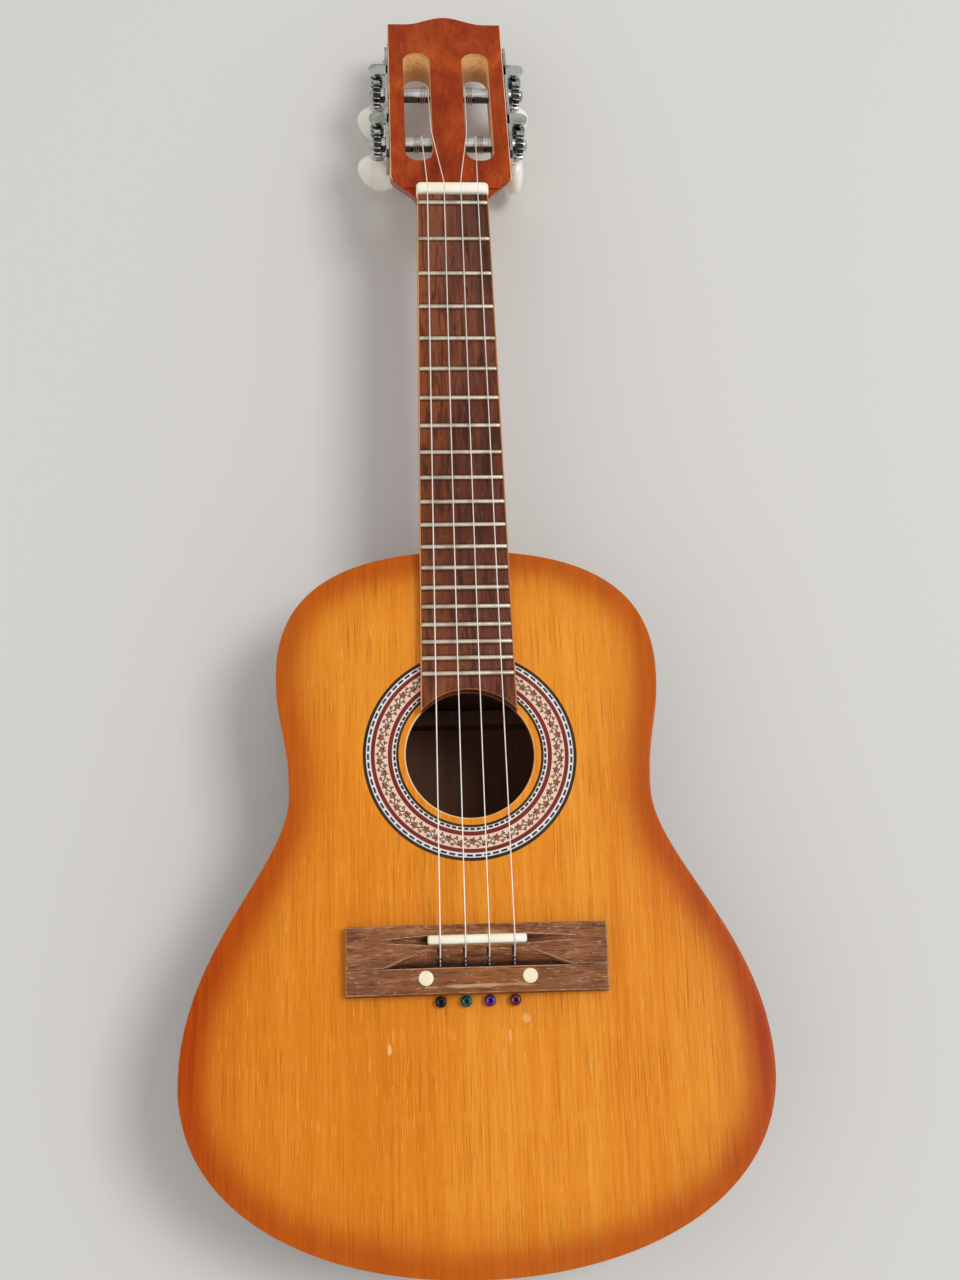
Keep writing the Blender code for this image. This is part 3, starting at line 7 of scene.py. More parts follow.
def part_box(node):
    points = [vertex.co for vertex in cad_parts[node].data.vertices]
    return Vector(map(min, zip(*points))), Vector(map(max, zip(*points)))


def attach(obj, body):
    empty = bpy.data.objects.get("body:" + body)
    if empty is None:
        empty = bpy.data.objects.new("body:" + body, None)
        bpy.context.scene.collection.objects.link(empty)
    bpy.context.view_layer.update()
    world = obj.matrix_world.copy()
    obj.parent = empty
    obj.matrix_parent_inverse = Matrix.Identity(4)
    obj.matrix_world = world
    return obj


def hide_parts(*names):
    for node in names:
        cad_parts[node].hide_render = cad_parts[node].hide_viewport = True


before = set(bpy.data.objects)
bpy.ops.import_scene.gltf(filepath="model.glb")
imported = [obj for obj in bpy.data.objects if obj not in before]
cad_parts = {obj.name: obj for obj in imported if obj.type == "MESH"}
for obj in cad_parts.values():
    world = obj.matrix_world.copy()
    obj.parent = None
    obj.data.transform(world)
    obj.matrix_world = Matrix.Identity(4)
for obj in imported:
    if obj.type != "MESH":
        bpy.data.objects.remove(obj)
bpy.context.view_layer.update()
mm = 0.001
pi = math.pi
print("frame loaded:", len(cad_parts), "nodes")

# places that the frame gives
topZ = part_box("soundboard")[1].z
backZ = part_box("back_plate")[0].z
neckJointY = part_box("soundboard")[1].y
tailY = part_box("soundboard")[0].y
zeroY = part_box("fretboard")[1].y - 4.5 * mm
holeY = (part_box("rosette")[0].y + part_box("rosette")[1].y) / 2
saddleY = (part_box("saddle")[0].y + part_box("saddle")[1].y) / 2
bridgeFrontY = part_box("bridge")[1].y
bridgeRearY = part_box("bridge")[0].y
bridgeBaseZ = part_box("bridge")[0].z
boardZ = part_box("fretboard")[0].z


# selecting, cutting and finishing

def clearSelection():
    if bpy.context.mode != "OBJECT":
        bpy.ops.object.mode_set(mode="OBJECT")
    bpy.ops.object.select_all(action="DESELECT")


def pick(piece):
    clearSelection()
    piece.select_set(True)
    bpy.context.view_layer.objects.active = piece


def skinRings(name, rings, around=True, ends=True):
    # a grid whose rows are laid on the rings; around joins each ring to itself, ends fills both mouths
    columns = len(rings[0]) - (0 if around else 1)
    rows = len(rings) - 1
    clearSelection()
    bpy.ops.mesh.primitive_grid_add(x_subdivisions=columns, y_subdivisions=rows, size=1)
    piece = bpy.context.object
    piece.name = name
    piece.data.name = name
    for index, vertex in enumerate(piece.data.vertices):
        row, column = divmod(index, columns + 1)
        vertex.co = rings[row][column % len(rings[row])]
    bpy.ops.object.mode_set(mode="EDIT")
    bpy.ops.mesh.select_all(action="SELECT")
    bpy.ops.mesh.remove_doubles(threshold=0.002 * mm)
    if ends:
        bpy.ops.mesh.fill_holes(sides=0)
    bpy.ops.mesh.select_all(action="SELECT")
    bpy.ops.mesh.normals_make_consistent(inside=False)
    bpy.ops.object.mode_set(mode="OBJECT")
    return piece


def cutWith(piece, cutter, operation="DIFFERENCE"):
    pick(piece)
    boolean = piece.modifiers.new("cut", "BOOLEAN")
    boolean.operation = operation
    boolean.object = cutter
    bpy.ops.object.modifier_apply(modifier=boolean.name)
    bpy.data.objects.remove(cutter)
    return piece


def soften(piece, width, segments=2, angle=35):
    pick(piece)
    bevel = piece.modifiers.new("soften", "BEVEL")
    bevel.width = width
    bevel.segments = segments
    bevel.limit_method = "ANGLE"
    bevel.angle_limit = math.radians(angle)
    bevel.use_clamp_overlap = True
    bpy.ops.object.modifier_apply(modifier=bevel.name)
    return piece


def mergeClose(piece, distance=0.01 * mm):
    pick(piece)
    bpy.ops.object.mode_set(mode="EDIT")
    bpy.ops.mesh.select_all(action="SELECT")
    bpy.ops.mesh.remove_doubles(threshold=distance)
    bpy.ops.object.mode_set(mode="OBJECT")
    return piece


def finish(piece, paint, body="root", stands=(), smooth=35, flats=False):
    pick(piece)
    bpy.ops.object.shade_smooth_by_angle(angle=math.radians(smooth))
    if flats:
        # the rounded edges shade softly and the large flat faces stay flat
        weights = piece.modifiers.new("flatFaces", "WEIGHTED_NORMAL")
        weights.keep_sharp = True
        bpy.ops.object.modifier_apply(modifier=weights.name)
    if paint is not None:
        piece.data.materials.clear()
        piece.data.materials.append(paint)
    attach(piece, body)
    if stands:
        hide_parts(*stands)
    return piece


def turned(name, rows, steps, place, hollow=False):
    # a circle drawn out ring by ring along its own Z through (radius, height) rows, then put in its place;
    # a hollow one ends where it began
    clearSelection()
    radius, height = rows[0]
    bpy.ops.mesh.primitive_circle_add(
        vertices=steps, radius=radius, fill_type="NOTHING" if hollow else "NGON", location=(0, 0, 0)
    )
    piece = bpy.context.object
    piece.name = name
    piece.data.name = name
    bpy.ops.object.mode_set(mode="EDIT")
    bpy.ops.mesh.select_all(action="SELECT")
    bpy.ops.transform.translate(value=(0, 0, height))
    for nextRadius, nextHeight in list(rows[1:]) + ([rows[0]] if hollow else []):
        step = {"value": (0, 0, nextHeight - height)}
        bpy.ops.mesh.extrude_region_move(TRANSFORM_OT_translate=step)
        growth = nextRadius / radius
        bpy.ops.transform.resize(value=(growth, growth, 1), center_override=(0, 0, nextHeight))
        radius, height = nextRadius, nextHeight
    bpy.ops.mesh.select_all(action="SELECT")
    bpy.ops.mesh.remove_doubles(threshold=0.002 * mm)
    bpy.ops.mesh.normals_make_consistent(inside=False)
    bpy.ops.object.mode_set(mode="OBJECT")
    piece.matrix_world = place
    bpy.ops.object.transform_apply(location=True, rotation=True, scale=True)
    return piece


def drill(piece, radius, low, high, steps, place):
    # a round hole along the frame's own z
    cutWith(piece, turned("bore", [(radius, low), (radius, high)], steps, place))


def at(x, y, z):
    return Matrix.Translation((x, y, z))


def ease(share):
    share = min(max(share, 0.0), 1.0)
    return share * share * (3 - 2 * share)


def insetLoop(points, distance):
    # moves a head outline inwards, except at its lower end
    moved = []
    for k, (x, y) in enumerate(points):
        here, before, after = Vector((x, y)), Vector(points[k - 1]), Vector(points[(k + 1) % len(points)])
        first, second = (here - before).normalized(), (after - here).normalized()
        way = (first + second) / (1 + first.dot(second))
        reach = distance * ease((y + 2 * mm) / (8 * mm))
        moved.append((x - way.y * reach, y + way.x * reach))
    return moved


def roundCorner(start, corner, end, steps=4):
    # points of a quarter bend from start to end, bulging to the corner
    points = []
    for k in range(steps + 1):
        t = k / steps
        weights = ((1 - t) ** 2, 2 * (1 - t) * t * 0.92, t * t)
        total = sum(weights)
        points.append(tuple(
            (weights[0] * a + weights[1] * b + weights[2] * c) / total
            for a, b, c in zip(start, corner, end)
        ))
    return points


def wire(name, points, radius, sides=2):
    clearSelection()
    curve = bpy.data.curves.new(name, "CURVE")
    curve.dimensions = "3D"
    curve.bevel_depth = radius
    curve.bevel_resolution = sides
    curve.use_fill_caps = True
    spline = curve.splines.new("POLY")
    spline.points.add(len(points) - 1)
    for spot, point in zip(spline.points, points):
        spot.co = (*point, 1.0)
    piece = bpy.data.objects.new(name, curve)
    bpy.context.scene.collection.objects.link(piece)
    pick(piece)
    bpy.ops.object.convert(target="MESH")
    return bpy.context.object


# shader maths

def tone(red, green, blue):
    # a colour as seen on a screen, 0 to 255, made linear
    def channel(value):
        share = value / 255
        return share / 12.92 if share <= 0.04045 else ((share + 0.055) / 1.055) ** 2.4
    return (channel(red), channel(green), channel(blue), 1.0)


class Field:
    def __init__(self, paint, socket):
        self.paint = paint
        self.socket = socket

    def maths(self, operation, *others):
        return self.paint.node("ShaderNodeMath", {"operation": operation}, (self, *others))

    def __add__(self, other):
        return self.maths("ADD", other)

    __radd__ = __add__

    def __mul__(self, other):
        return self.maths("MULTIPLY", other)

    __rmul__ = __mul__

    def __sub__(self, other):
        return self.maths("SUBTRACT", other)

    def __rsub__(self, other):
        return self.paint.node("ShaderNodeMath", {"operation": "SUBTRACT"}, (other, self))

    def __truediv__(self, other):
        return self.maths("DIVIDE", other)

    def __lt__(self, other):
        return self.maths("LESS_THAN", other)

    def __gt__(self, other):
        return self.maths("GREATER_THAN", other)

    def size(self):
        return self.maths("ABSOLUTE")

    def fade(self, low, high, start=0.0, end=1.0):
        # smooth step from start at low to end at high
        return self.paint.node(
            "ShaderNodeMapRange",
            {"interpolation_type": "SMOOTHSTEP"},
            {"Value": self, "From Min": low, "From Max": high, "To Min": start, "To Max": end},
        )


class Paint:
    def __init__(self, name):
        self.material = bpy.data.materials.new(name)
        self.material.use_nodes = True
        self.tree = self.material.node_tree
        self.skin = self.tree.nodes["Principled BSDF"]
        self.objectSpace = None

    def node(self, kind, settings=None, values=(), output=0):
        made = self.tree.nodes.new(kind)
        for key, value in (settings or {}).items():
            if key == "stops":
                while len(made.color_ramp.elements) < len(value):
                    made.color_ramp.elements.new(0.5)
                for element, (position, colour) in zip(made.color_ramp.elements, value):
                    element.position = position
                    element.color = colour
            else:
                setattr(made, key, value)
        pairs = values.items() if isinstance(values, dict) else enumerate(values)
        for key, value in pairs:
            if isinstance(value, Field):
                self.tree.links.new(value.socket, made.inputs[key])
            else:
                made.inputs[key].default_value = value
        return Field(self, made.outputs[output])

    def space(self, stretch=(1, 1, 1), shift=(0, 0, 0), turnBy=(0, 0, 0)):
        if self.objectSpace is None:
            self.objectSpace = self.node("ShaderNodeTexCoord", output="Object")
        return self.node(
            "ShaderNodeMapping",
            {"vector_type": "TEXTURE"} if turnBy != (0, 0, 0) and stretch == (1, 1, 1) else None,
            {"Vector": self.objectSpace, "Location": shift, "Rotation": turnBy, "Scale": stretch},
        )

    def noise(self, vector, scale=1.0, detail=2.0, rough=0.5, distortion=0.0):
        return self.node(
            "ShaderNodeTexNoise", None,
            {
                "Vector": vector, "Scale": scale, "Detail": detail, "Roughness": rough,
                "Distortion": distortion,
            },
        )

    def parts(self, vector):
        split = self.node("ShaderNodeSeparateXYZ", None, (vector,))
        return [Field(self, split.socket.node.outputs[k]) for k in range(3)]

    def ramp(self, factor, *stops):
        return self.node("ShaderNodeValToRGB", {"stops": stops}, (factor,))

    def blend(self, factor, first, second, kind="MIX"):
        return self.node(
            "ShaderNodeMix", {"data_type": "RGBA", "blend_type": kind}, {0: factor, 6: first, 7: second},
            output=2
        )

    def attribute(self, name):
        return self.node("ShaderNodeAttribute", {"attribute_name": name}, output="Fac")

    def set(self, **sockets):
        names = {
            "colour": "Base Color", "rough": "Roughness", "metal": "Metallic", "coat": "Coat Weight",
            "coatRough": "Coat Roughness", "specular": "Specular IOR Level", "normal": "Normal",
            "scatter": "Subsurface Weight", "scatterSize": "Subsurface Scale",
            "scatterReach": "Subsurface Radius",
            "anisotropy": "Anisotropic", "ior": "IOR",
        }
        for key, value in sockets.items():
            target = self.skin.inputs[names[key]]
            if isinstance(value, Field):
                self.tree.links.new(value.socket, target)
            else:
                target.default_value = value
        return self.material

    def bump(self, height, strength=0.2, distance=0.1 * mm):
        return self.node(
            "ShaderNodeBump", None, {"Strength": strength, "Distance": distance, "Height": height}
        )


# finishes

topFinish = {
    "amber": tone(231, 139, 33),
    "amberPale": tone(241, 158, 53),
    "amberDeep": tone(217, 119, 20),
    "burst": tone(180, 70, 0),
    "burstDark": tone(162, 54, 0),
    "pore": tone(172, 88, 10),
    # edge: the colour of a painted highlight along the soundboard's outer rim
    "edge": tone(236, 190, 165),
    "chip": tone(248, 204, 146),
    "bareEdge": tone(150, 96, 60),
    "chips": (
        (-35.2, -211.0, 0.95, 2.1, 0.7), (-33.6, -205.6, 0.5, 3.2, 0.25), (12.3, -207.2, 0.5, 3.0, 0.45),
        (13.2, -200.8, 0.4, 4.4, 0.22), (9.4, -215.6, 0.45, 4.8, 0.25), (19.0, -200.4, 1.7, 1.9, 0.42),
    ),
}


def paintSoundboard():
    p = Paint("amberSoundboard")
    x, y, unused = p.parts(p.space((1000, 1000, 1000)))  # millimetres
    broad = p.noise(p.space((32, 2.0, 1)), detail=2.0)
    band = p.noise(p.space((150, 5, 1), shift=(2, 1, 0)), detail=3.0, distortion=0.2)
    streak = p.noise(p.space((520, 16, 1)), detail=3.0, rough=0.6)
    thread = p.noise(p.space((1050, 16, 1), shift=(5, 3, 0)), detail=3.0, rough=0.6)
    fine = p.noise(p.space((1500, 80, 1)), detail=2.0)
    grain = broad * 0.2 + band * 0.18 + streak * 0.2 + thread * 0.28 + fine * 0.14
    wood = p.ramp(
        grain,
        (0.39, topFinish["amberDeep"]), (0.5, topFinish["amber"]), (0.61, topFinish["amberPale"]),
    )
    # painted light: the upper bout is mixed paler, as if more light fell there
    wood = p.blend(y.fade(-130.0, -40.0) * 0.35, wood, topFinish["amberPale"])
    # painted shade: the lower left of the soundboard is mixed darker, as if shaded
    wood = p.blend(x.fade(30.0, -100.0) * y.fade(-110.0, -190.0) * 0.5, wood, topFinish["amberDeep"])
    calm = p.noise(p.space((38, 12, 1), shift=(7, 1, 0)), detail=2.0)
    hairs = p.noise(p.space((1900, 34, 1), shift=(4, 2, 0)), detail=2.0)
    wood = p.blend(hairs.fade(0.56, 0.68) * calm.fade(0.36, 0.6, 0.25, 1.0) * 0.62, wood, topFinish["pore"])
    dashes = p.noise(p.space((2700, 190, 1)), detail=1.0)
    wood = p.blend(dashes.fade(0.63, 0.75) * 0.4, wood, topFinish["pore"])
    glints = p.noise(p.space((1900, 90, 1), shift=(9, 5, 0)), detail=1.0)
    wood = p.blend(glints.fade(0.63, 0.76) * 0.5, wood, tone(250, 186, 92))
    rim = p.attribute("rim")
    spray = p.noise(p.space((40, 20, 1)), detail=2.0) * 4.0 - 2.0
    reach = rim + spray + streak * 1.6 - 0.8
    burst = (reach.fade(17.0, 3.0) * 0.6 + reach.fade(32.0, 5.0) * 0.34) * p.attribute("depth")
    wood = p.blend(burst, wood, p.blend(streak.fade(0.35, 0.65), topFinish["burst"], topFinish["burstDark"]))
    wobble = p.noise(p.space((600, 420, 1)), detail=2.0) * 2.4 - 1.2
    for spotX, spotY, wide, tall, strength in topFinish["chips"]:
        apart = ((x - spotX) / wide).maths("POWER", 2.0) + ((y - spotY) / tall).maths("POWER", 2.0)
        wood = p.blend((apart + wobble).fade(1.3, 0.3) * strength, wood, topFinish["chip"])
    fromHole = (x * x + (y - holeY / mm).maths("POWER", 2.0)).maths("SQRT")
    # painted highlight: a pale line round the soundhole's rim, strongest on the left side
    wood = p.blend(fromHole.fade(27.35, 27.05) * x.fade(10.0, -20.0, 0.3, 0.85), wood, tone(250, 214, 164))
    # painted highlight: a pale line along the outer edge, strongest on the right side
    wood = p.blend(rim.fade(0.45, 0.05) * x.fade(-20.0, 60.0, 0.32, 0.75), wood, topFinish["edge"])
    height = streak * 0.4 + fine * 0.4 + dashes.fade(0.64, 0.76, 0.0, -0.8)
    return p.set(
        colour=wood, rough=0.3 + calm * 0.1, specular=0.07, coat=0.07, coatRough=0.1,
        normal=p.bump(height, 0.1, 0.05 * mm),
    )


def paintCaseWood(name, acrossRib):
    # dark red-brown lacquered wood of the sides and the back
    p = Paint(name)
    grainSpace = (60, 8, 600) if acrossRib else (500, 10, 60)
    coarse = (9, 5, 90) if acrossRib else (60, 3, 20)
    lines = p.noise(p.space(grainSpace), detail=4.0, rough=0.6)
    flame = p.noise(p.space(coarse), detail=3.0, distortion=0.8)
    wood = p.ramp(
        lines * 0.55 + flame * 0.45,
        (0.3, tone(70, 26, 12)), (0.5, tone(112, 44, 18)), (0.7, tone(146, 62, 24)),
    )
    rim = p.attribute("rim")
    wood = p.blend(rim.fade(14.0, 0.0) * 0.6, wood, tone(64, 24, 12))
    pores = p.noise(p.space((1500, 40, 1500) if acrossRib else (2200, 70, 800)), detail=1.0)
    wood = p.blend(pores.fade(0.62, 0.72) * 0.5, wood, tone(48, 18, 9))
    height = lines * 0.5 - pores.fade(0.6, 0.72)
    return p.set(
        colour=wood, rough=0.2 + lines * 0.08, coat=0.4, coatRough=0.1,
        normal=p.bump(height, 0.1, 0.05 * mm),
    )


def paintNeckWood():
    p = Paint("stainedNeck")
    swirl = p.noise(p.space((46, 15, 46)), detail=4.0, rough=0.55, distortion=1.4)
    lines = p.noise(p.space((420, 14, 300)), detail=4.0, rough=0.6)
    blotch = p.noise(p.space((70, 45, 60), shift=(3, 1, 2)), detail=3.0, distortion=0.6)
    wood = p.ramp(
        swirl * 0.5 + lines * 0.22 + blotch * 0.28,
        (0.33, tone(118, 34, 4)), (0.45, tone(152, 52, 10)), (0.56, tone(172, 70, 18)),
        (0.7, tone(196, 94, 32)),
    )
    figure = p.noise(p.space((150, 42, 60), shift=(2, 7, 1)), detail=3.0, distortion=2.2)
    wood = p.blend((figure - 0.5).size().fade(0.035, 0.0) * 0.42, wood, tone(112, 34, 8))
    pores = p.noise(p.space((1500, 80, 900)), detail=1.0)
    wood = p.blend(pores.fade(0.62, 0.72) * 0.35, wood, tone(96, 30, 12))
    height = lines * 0.4 + swirl * 0.4
    return p.set(
        colour=wood, rough=0.28 + blotch * 0.1, specular=0.08, coat=0.08, coatRough=0.08,
        normal=p.bump(height, 0.12, 0.08 * mm),
    )


def paintSlotWall():
    p = Paint("bareSlotWall")
    lines = p.noise(p.space((500, 60, 500)), detail=4.0, rough=0.65)
    stain = p.noise(p.space((90, 90, 90)), detail=3.0)
    wood = p.ramp(
        lines * 0.6 + stain * 0.4,
        (0.34, tone(240, 164, 92)), (0.5, tone(252, 202, 134)), (0.68, tone(255, 228, 176)),
    )
    unused, y, z = p.parts(p.space((1000, 1000, 1000)))
    deep = (y - headOrigin.y / mm) * headNormal.y + (z - headOrigin.z / mm) * headNormal.z + stain * 4.0 - 2.0
    # painted shade: the slot walls darken deeper into the head
    wood = p.blend(deep.fade(-5.0, -13.0) * 0.62, wood, tone(156, 100, 58))
    wood = p.blend(deep.fade(-2.2, -0.2) * 0.35, wood, tone(176, 104, 60))
    smudge = p.noise(p.space((380, 380, 380)), detail=3.0)
    wood = p.blend(smudge.fade(0.6, 0.7) * 0.5, wood, tone(150, 92, 54))
    return p.set(colour=wood, rough=0.5 + lines * 0.15, normal=p.bump(lines, 0.25, 0.12 * mm))


def paintInnerWood():
    p = Paint("bareInnerWood")
    lines = p.noise(p.space((50, 420, 420)), detail=4.0, rough=0.6)
    cloud = p.noise(p.space((20, 20, 20)), detail=3.0)
    wood = p.ramp(
        lines * 0.6 + cloud * 0.4, (0.32, tone(132, 92, 56)), (0.5, tone(164, 122, 78)),
        (0.7, tone(190, 150, 102)),
    )
    return p.set(colour=wood, rough=0.7 + lines * 0.15, normal=p.bump(lines, 0.3, 0.12 * mm))


def paintInsideCase():
    p = Paint("bareCaseInside")
    lines = p.noise(p.space((420, 20, 200)), detail=4.0, rough=0.6)
    cloud = p.noise(p.space((16, 16, 16)), detail=3.0)
    wood = p.ramp(
        lines * 0.5 + cloud * 0.5, (0.32, tone(74, 42, 24)), (0.5, tone(98, 58, 34)),
        (0.7, tone(122, 76, 46)),
    )
    return p.set(colour=wood, rough=0.75 + lines * 0.1, normal=p.bump(lines, 0.3, 0.12 * mm))


def paintFretboard():
    p = Paint("redBrownFretboard")
    x, y, unused = p.parts(p.space((1000, 1000, 1000)))
    lines = p.noise(p.space((430, 20, 60)), detail=5.0, rough=0.62, distortion=0.2)
    broad = p.noise(p.space((150, 9, 20), shift=(2, 5, 0)), detail=3.0, distortion=0.5)
    cloud = p.noise(p.space((60, 60, 10)), detail=3.0)
    wood = p.ramp(
        lines * 0.42 + broad * 0.36 + cloud * 0.22,
        (0.34, tone(54, 26, 18)), (0.45, tone(92, 46, 30)), (0.56, tone(122, 64, 42)),
        (0.7, tone(152, 86, 54)),
    )
    wood = p.blend(x.fade(3.0, -14.0) * 0.5, wood, tone(150, 78, 32))
    wood = p.blend(y.fade(60.0, 150.0) * 0.1, wood, tone(168, 128, 108))
    wood = p.blend(y.fade(110.0, 150.0) * x.fade(-6.0, 8.0) * 0.4, wood, tone(60, 34, 24))
    wood = p.blend((y - 4.0).size().fade(60.0, 20.0) * 0.3, wood, tone(64, 26, 16))
    figure = p.noise(p.space((300, 36, 30), shift=(4, 2, 0)), detail=3.0, distortion=1.0)
    wood = p.blend(figure.fade(0.5, 0.62) * 0.6, wood, tone(50, 24, 16))
    pores = p.noise(p.space((1900, 110, 400)), detail=1.0)
    wood = p.blend(pores.fade(0.6, 0.7) * 0.6, wood, tone(40, 22, 18))
    scale = neckShape["scaleLength"] / mm
    along = y * -1.0 + zeroY / mm
    number = (1.0 - along / scale).maths("MAXIMUM", 0.1).maths("LOGARITHM", 2.0) * -12.0
    nearest = number.maths("ROUND").maths("MINIMUM", neckShape["lastFret"]) / -12.0
    power = p.node("ShaderNodeMath", {"operation": "POWER"}, (2.0, nearest))
    toFret = (along - (1.0 - power) * scale).size()
    # grime and painted shade: the wood darkens next to each fret
    wood = p.blend(toFret.fade(2.3, 1.0) * (cloud * 0.8 + 0.25), wood, tone(38, 22, 16))
    dust = p.noise(p.space((500, 300, 100), shift=(5, 5, 5)), detail=4.0)
    wood = p.blend(dust.fade(0.6, 0.78) * 0.2, wood, tone(176, 140, 118))
    grown = (neckShape["widthAtLastFret"] - neckShape["widthAtZeroFret"]) / fretPlace(neckShape["lastFret"])
    half = (y * -1.0 + zeroY / mm) * (grown / 2) + neckShape["widthAtZeroFret"] / mm / 2
    fromEdge = half - x.size() + lines * 0.3
    wood = p.blend(fromEdge.fade(0.85, 0.6) * x.fade(1.0, -1.0, 0.6, 0.85), wood, tone(232, 160, 96))
    height = lines * 0.5 - pores.fade(0.58, 0.7)
    return p.set(colour=wood, rough=0.42 + broad * 0.2, specular=0.15, normal=p.bump(height, 0.3, 0.12 * mm))


def paintBridge():
    p = Paint("weatheredBridge")
    lines = p.noise(p.space((30, 560, 520)), detail=5.0, rough=0.72, distortion=0.4)
    broad = p.noise(p.space((24, 170, 60), shift=(3, 3, 3)), detail=3.0, distortion=0.6)
    cloud = p.noise(p.space((90, 90, 60)), detail=4.0)
    wood = p.ramp(
        lines * 0.4 + broad * 0.36 + cloud * 0.24,
        (0.36, tone(70, 38, 20)), (0.46, tone(114, 66, 36)), (0.55, tone(146, 90, 52)),
        (0.66, tone(184, 132, 88)),
    )
    x, y, unused = p.parts(p.space((1000, 1000, 1000)))
    middle = x.size().fade(34.0, 18.0) * y.fade(bridgeRearY / mm + 12.0, bridgeRearY / mm + 9.5)
    reddish = p.noise(p.space((40, 60, 40), shift=(1, 4, 2)), detail=2.0)
    wood = p.blend(reddish.fade(0.5, 0.7) * 0.35, wood, tone(150, 92, 60))
    wood = p.blend(middle * 0.35, wood, tone(160, 98, 48))
    wood = p.blend(x.size().fade(20.0, 44.0) * 0.12, wood, tone(158, 112, 92))
    pores = p.noise(p.space((130, 1400, 900)), detail=1.0)
    wood = p.blend(pores.fade(0.58, 0.7) * 0.6, wood, tone(64, 36, 22))
    scrapes = p.noise(p.space((240, 1250, 900), shift=(2, 6, 1)), detail=2.0, distortion=0.5)
    wood = p.blend(scrapes.fade(0.58, 0.7) * 0.5, wood, tone(200, 154, 116))
    wear = p.attribute("wear")
    scuff = p.noise(p.space((260, 260, 260)), detail=4.0)
    # pale where the wear attribute is high: worn edges, partly a painted highlight on the lit side
    wood = p.blend((wear + scuff * 0.6 - 0.3).fade(0.3, 0.95) * 0.66, wood, tone(216, 176, 138))
    # dark where the wear attribute is low: painted shade in hollows, down in the valley and beside the
    # strings
    wood = p.blend((wear * -1.0 + scuff * 0.2).fade(0.12, 0.7) * 0.85, wood, tone(44, 26, 18))
    flecks = p.noise(p.space((1100, 1300, 900)), detail=2.0)
    wood = p.blend(flecks.fade(0.68, 0.76) * 0.5, wood, tone(214, 196, 176))
    height = lines * 0.6 - pores.fade(0.56, 0.7) * 0.8 + scuff * 0.3
    return p.set(colour=wood, rough=0.62 + cloud * 0.15, specular=0.2, normal=p.bump(height, 0.6, 0.2 * mm))


def paintBone(name, pale, warm, gloss):
    p = Paint(name)
    cloud = p.noise(p.space((120, 120, 120)), detail=3.0)
    speck = p.noise(p.space((900, 900, 900)), detail=2.0)
    colour = p.ramp(cloud * 0.7 + speck * 0.3, (0.35, warm), (0.6, pale))
    return p.set(
        colour=colour, rough=gloss + speck * 0.06, scatter=0.12, scatterSize=1.2 * mm,
        scatterReach=(1.0, 0.8, 0.5), normal=p.bump(speck, 0.06, 0.05 * mm),
    )


def paintButton():
    p = Paint("pearlButton")
    cloud = p.noise(p.space((150, 150, 60)), detail=4.0, distortion=1.6)
    speck = p.noise(p.space((700, 700, 700)), detail=2.0)
    colour = p.ramp(
        cloud, (0.34, tone(252, 238, 218)), (0.52, tone(255, 250, 236)), (0.7, tone(255, 255, 248)),
    )
    return p.set(
        colour=colour, rough=0.2 + speck * 0.06, coat=0.4, coatRough=0.06, scatter=0.15,
        scatterSize=2.0 * mm, scatterReach=(1.0, 0.85, 0.6), normal=p.bump(cloud, 0.05, 0.1 * mm),
    )


def paintMetal(name, bright, dull, rough, scratch=(300, 300, 300), tarnish=0.35, metal=1.0):
    p = Paint(name)
    cloud = p.noise(p.space((120, 120, 120)), detail=4.0, distortion=0.6)
    lines = p.noise(p.space(scratch), detail=4.0, rough=0.7)
    colour = p.blend(cloud.fade(0.42, 0.66) * tarnish, bright, dull)
    colour = p.blend(lines.fade(0.55, 0.75) * tarnish * 0.5, colour, dull)
    # grime and painted shade: near black where the attribute marks thread and tooth roots
    colour = p.blend(p.attribute("grime") * 0.9, colour, tone(30, 30, 26))
    return p.set(
        colour=colour, metal=metal, rough=rough + lines * 0.14 + cloud * 0.06,
        normal=p.bump(lines, 0.1, 0.03 * mm)
    )


def paintRoller(name, place):
    # turned steel, with painted shade on the side facing the nut and the head's back
    p = Paint(name)
    unused, y, z = p.parts(p.space((1000, 1000, 1000)))
    middle = headPlace(0, tunerShape[place], -tunerShape["rollerDepth"]) / mm
    down = Vector(
        (0, -0.65 * math.cos(tilt) - 0.759 * math.sin(tilt), 0.65 * math.sin(tilt) - 0.759 * math.cos(tilt)),
    )
    lower = (y - middle.y) * down.y + (z - middle.z) * down.z
    lines = p.noise(p.space((1400, 60, 60)), detail=4.0, rough=0.7)
    cloud = p.noise(p.space((200, 200, 200)), detail=3.0)
    colour = p.blend(cloud.fade(0.4, 0.66) * 0.4, tone(228, 226, 222), tone(120, 114, 108))
    # painted shade: dark and less metallic on the lower side
    underShade = (lower + cloud * 1.2 - 0.6).fade(0.1, 0.9) * 0.94
    colour = p.blend(underShade, colour, tone(20, 16, 16))
    return p.set(
        colour=colour, metal=underShade * -0.8 + 1.0, rough=0.2 + lines * 0.14 + underShade * 0.3,
        normal=p.bump(lines, 0.1, 0.03 * mm),
    )


def paintBead(name, colour, glint):
    p = Paint(name)
    cloud = p.noise(p.space((500, 500, 500)), detail=3.0)
    wear = p.noise(p.space((900, 900, 300)), detail=3.0)
    made = p.blend(cloud.fade(0.45, 0.7) * 0.7, colour, glint)
    made = p.blend(wear.fade(0.62, 0.76) * 0.6, made, tone(196, 170, 140))
    return p.set(
        colour=made, metal=0.75, rough=0.22 + cloud * 0.12, coat=0.3, normal=p.bump(wear, 0.1, 0.04 * mm),
    )


rosetteRings = {
    "scrollMiddle": 36.95,
    "scrollCells": 46,
    "dashesOuter": 74,
    "dashesInner": 78,
}


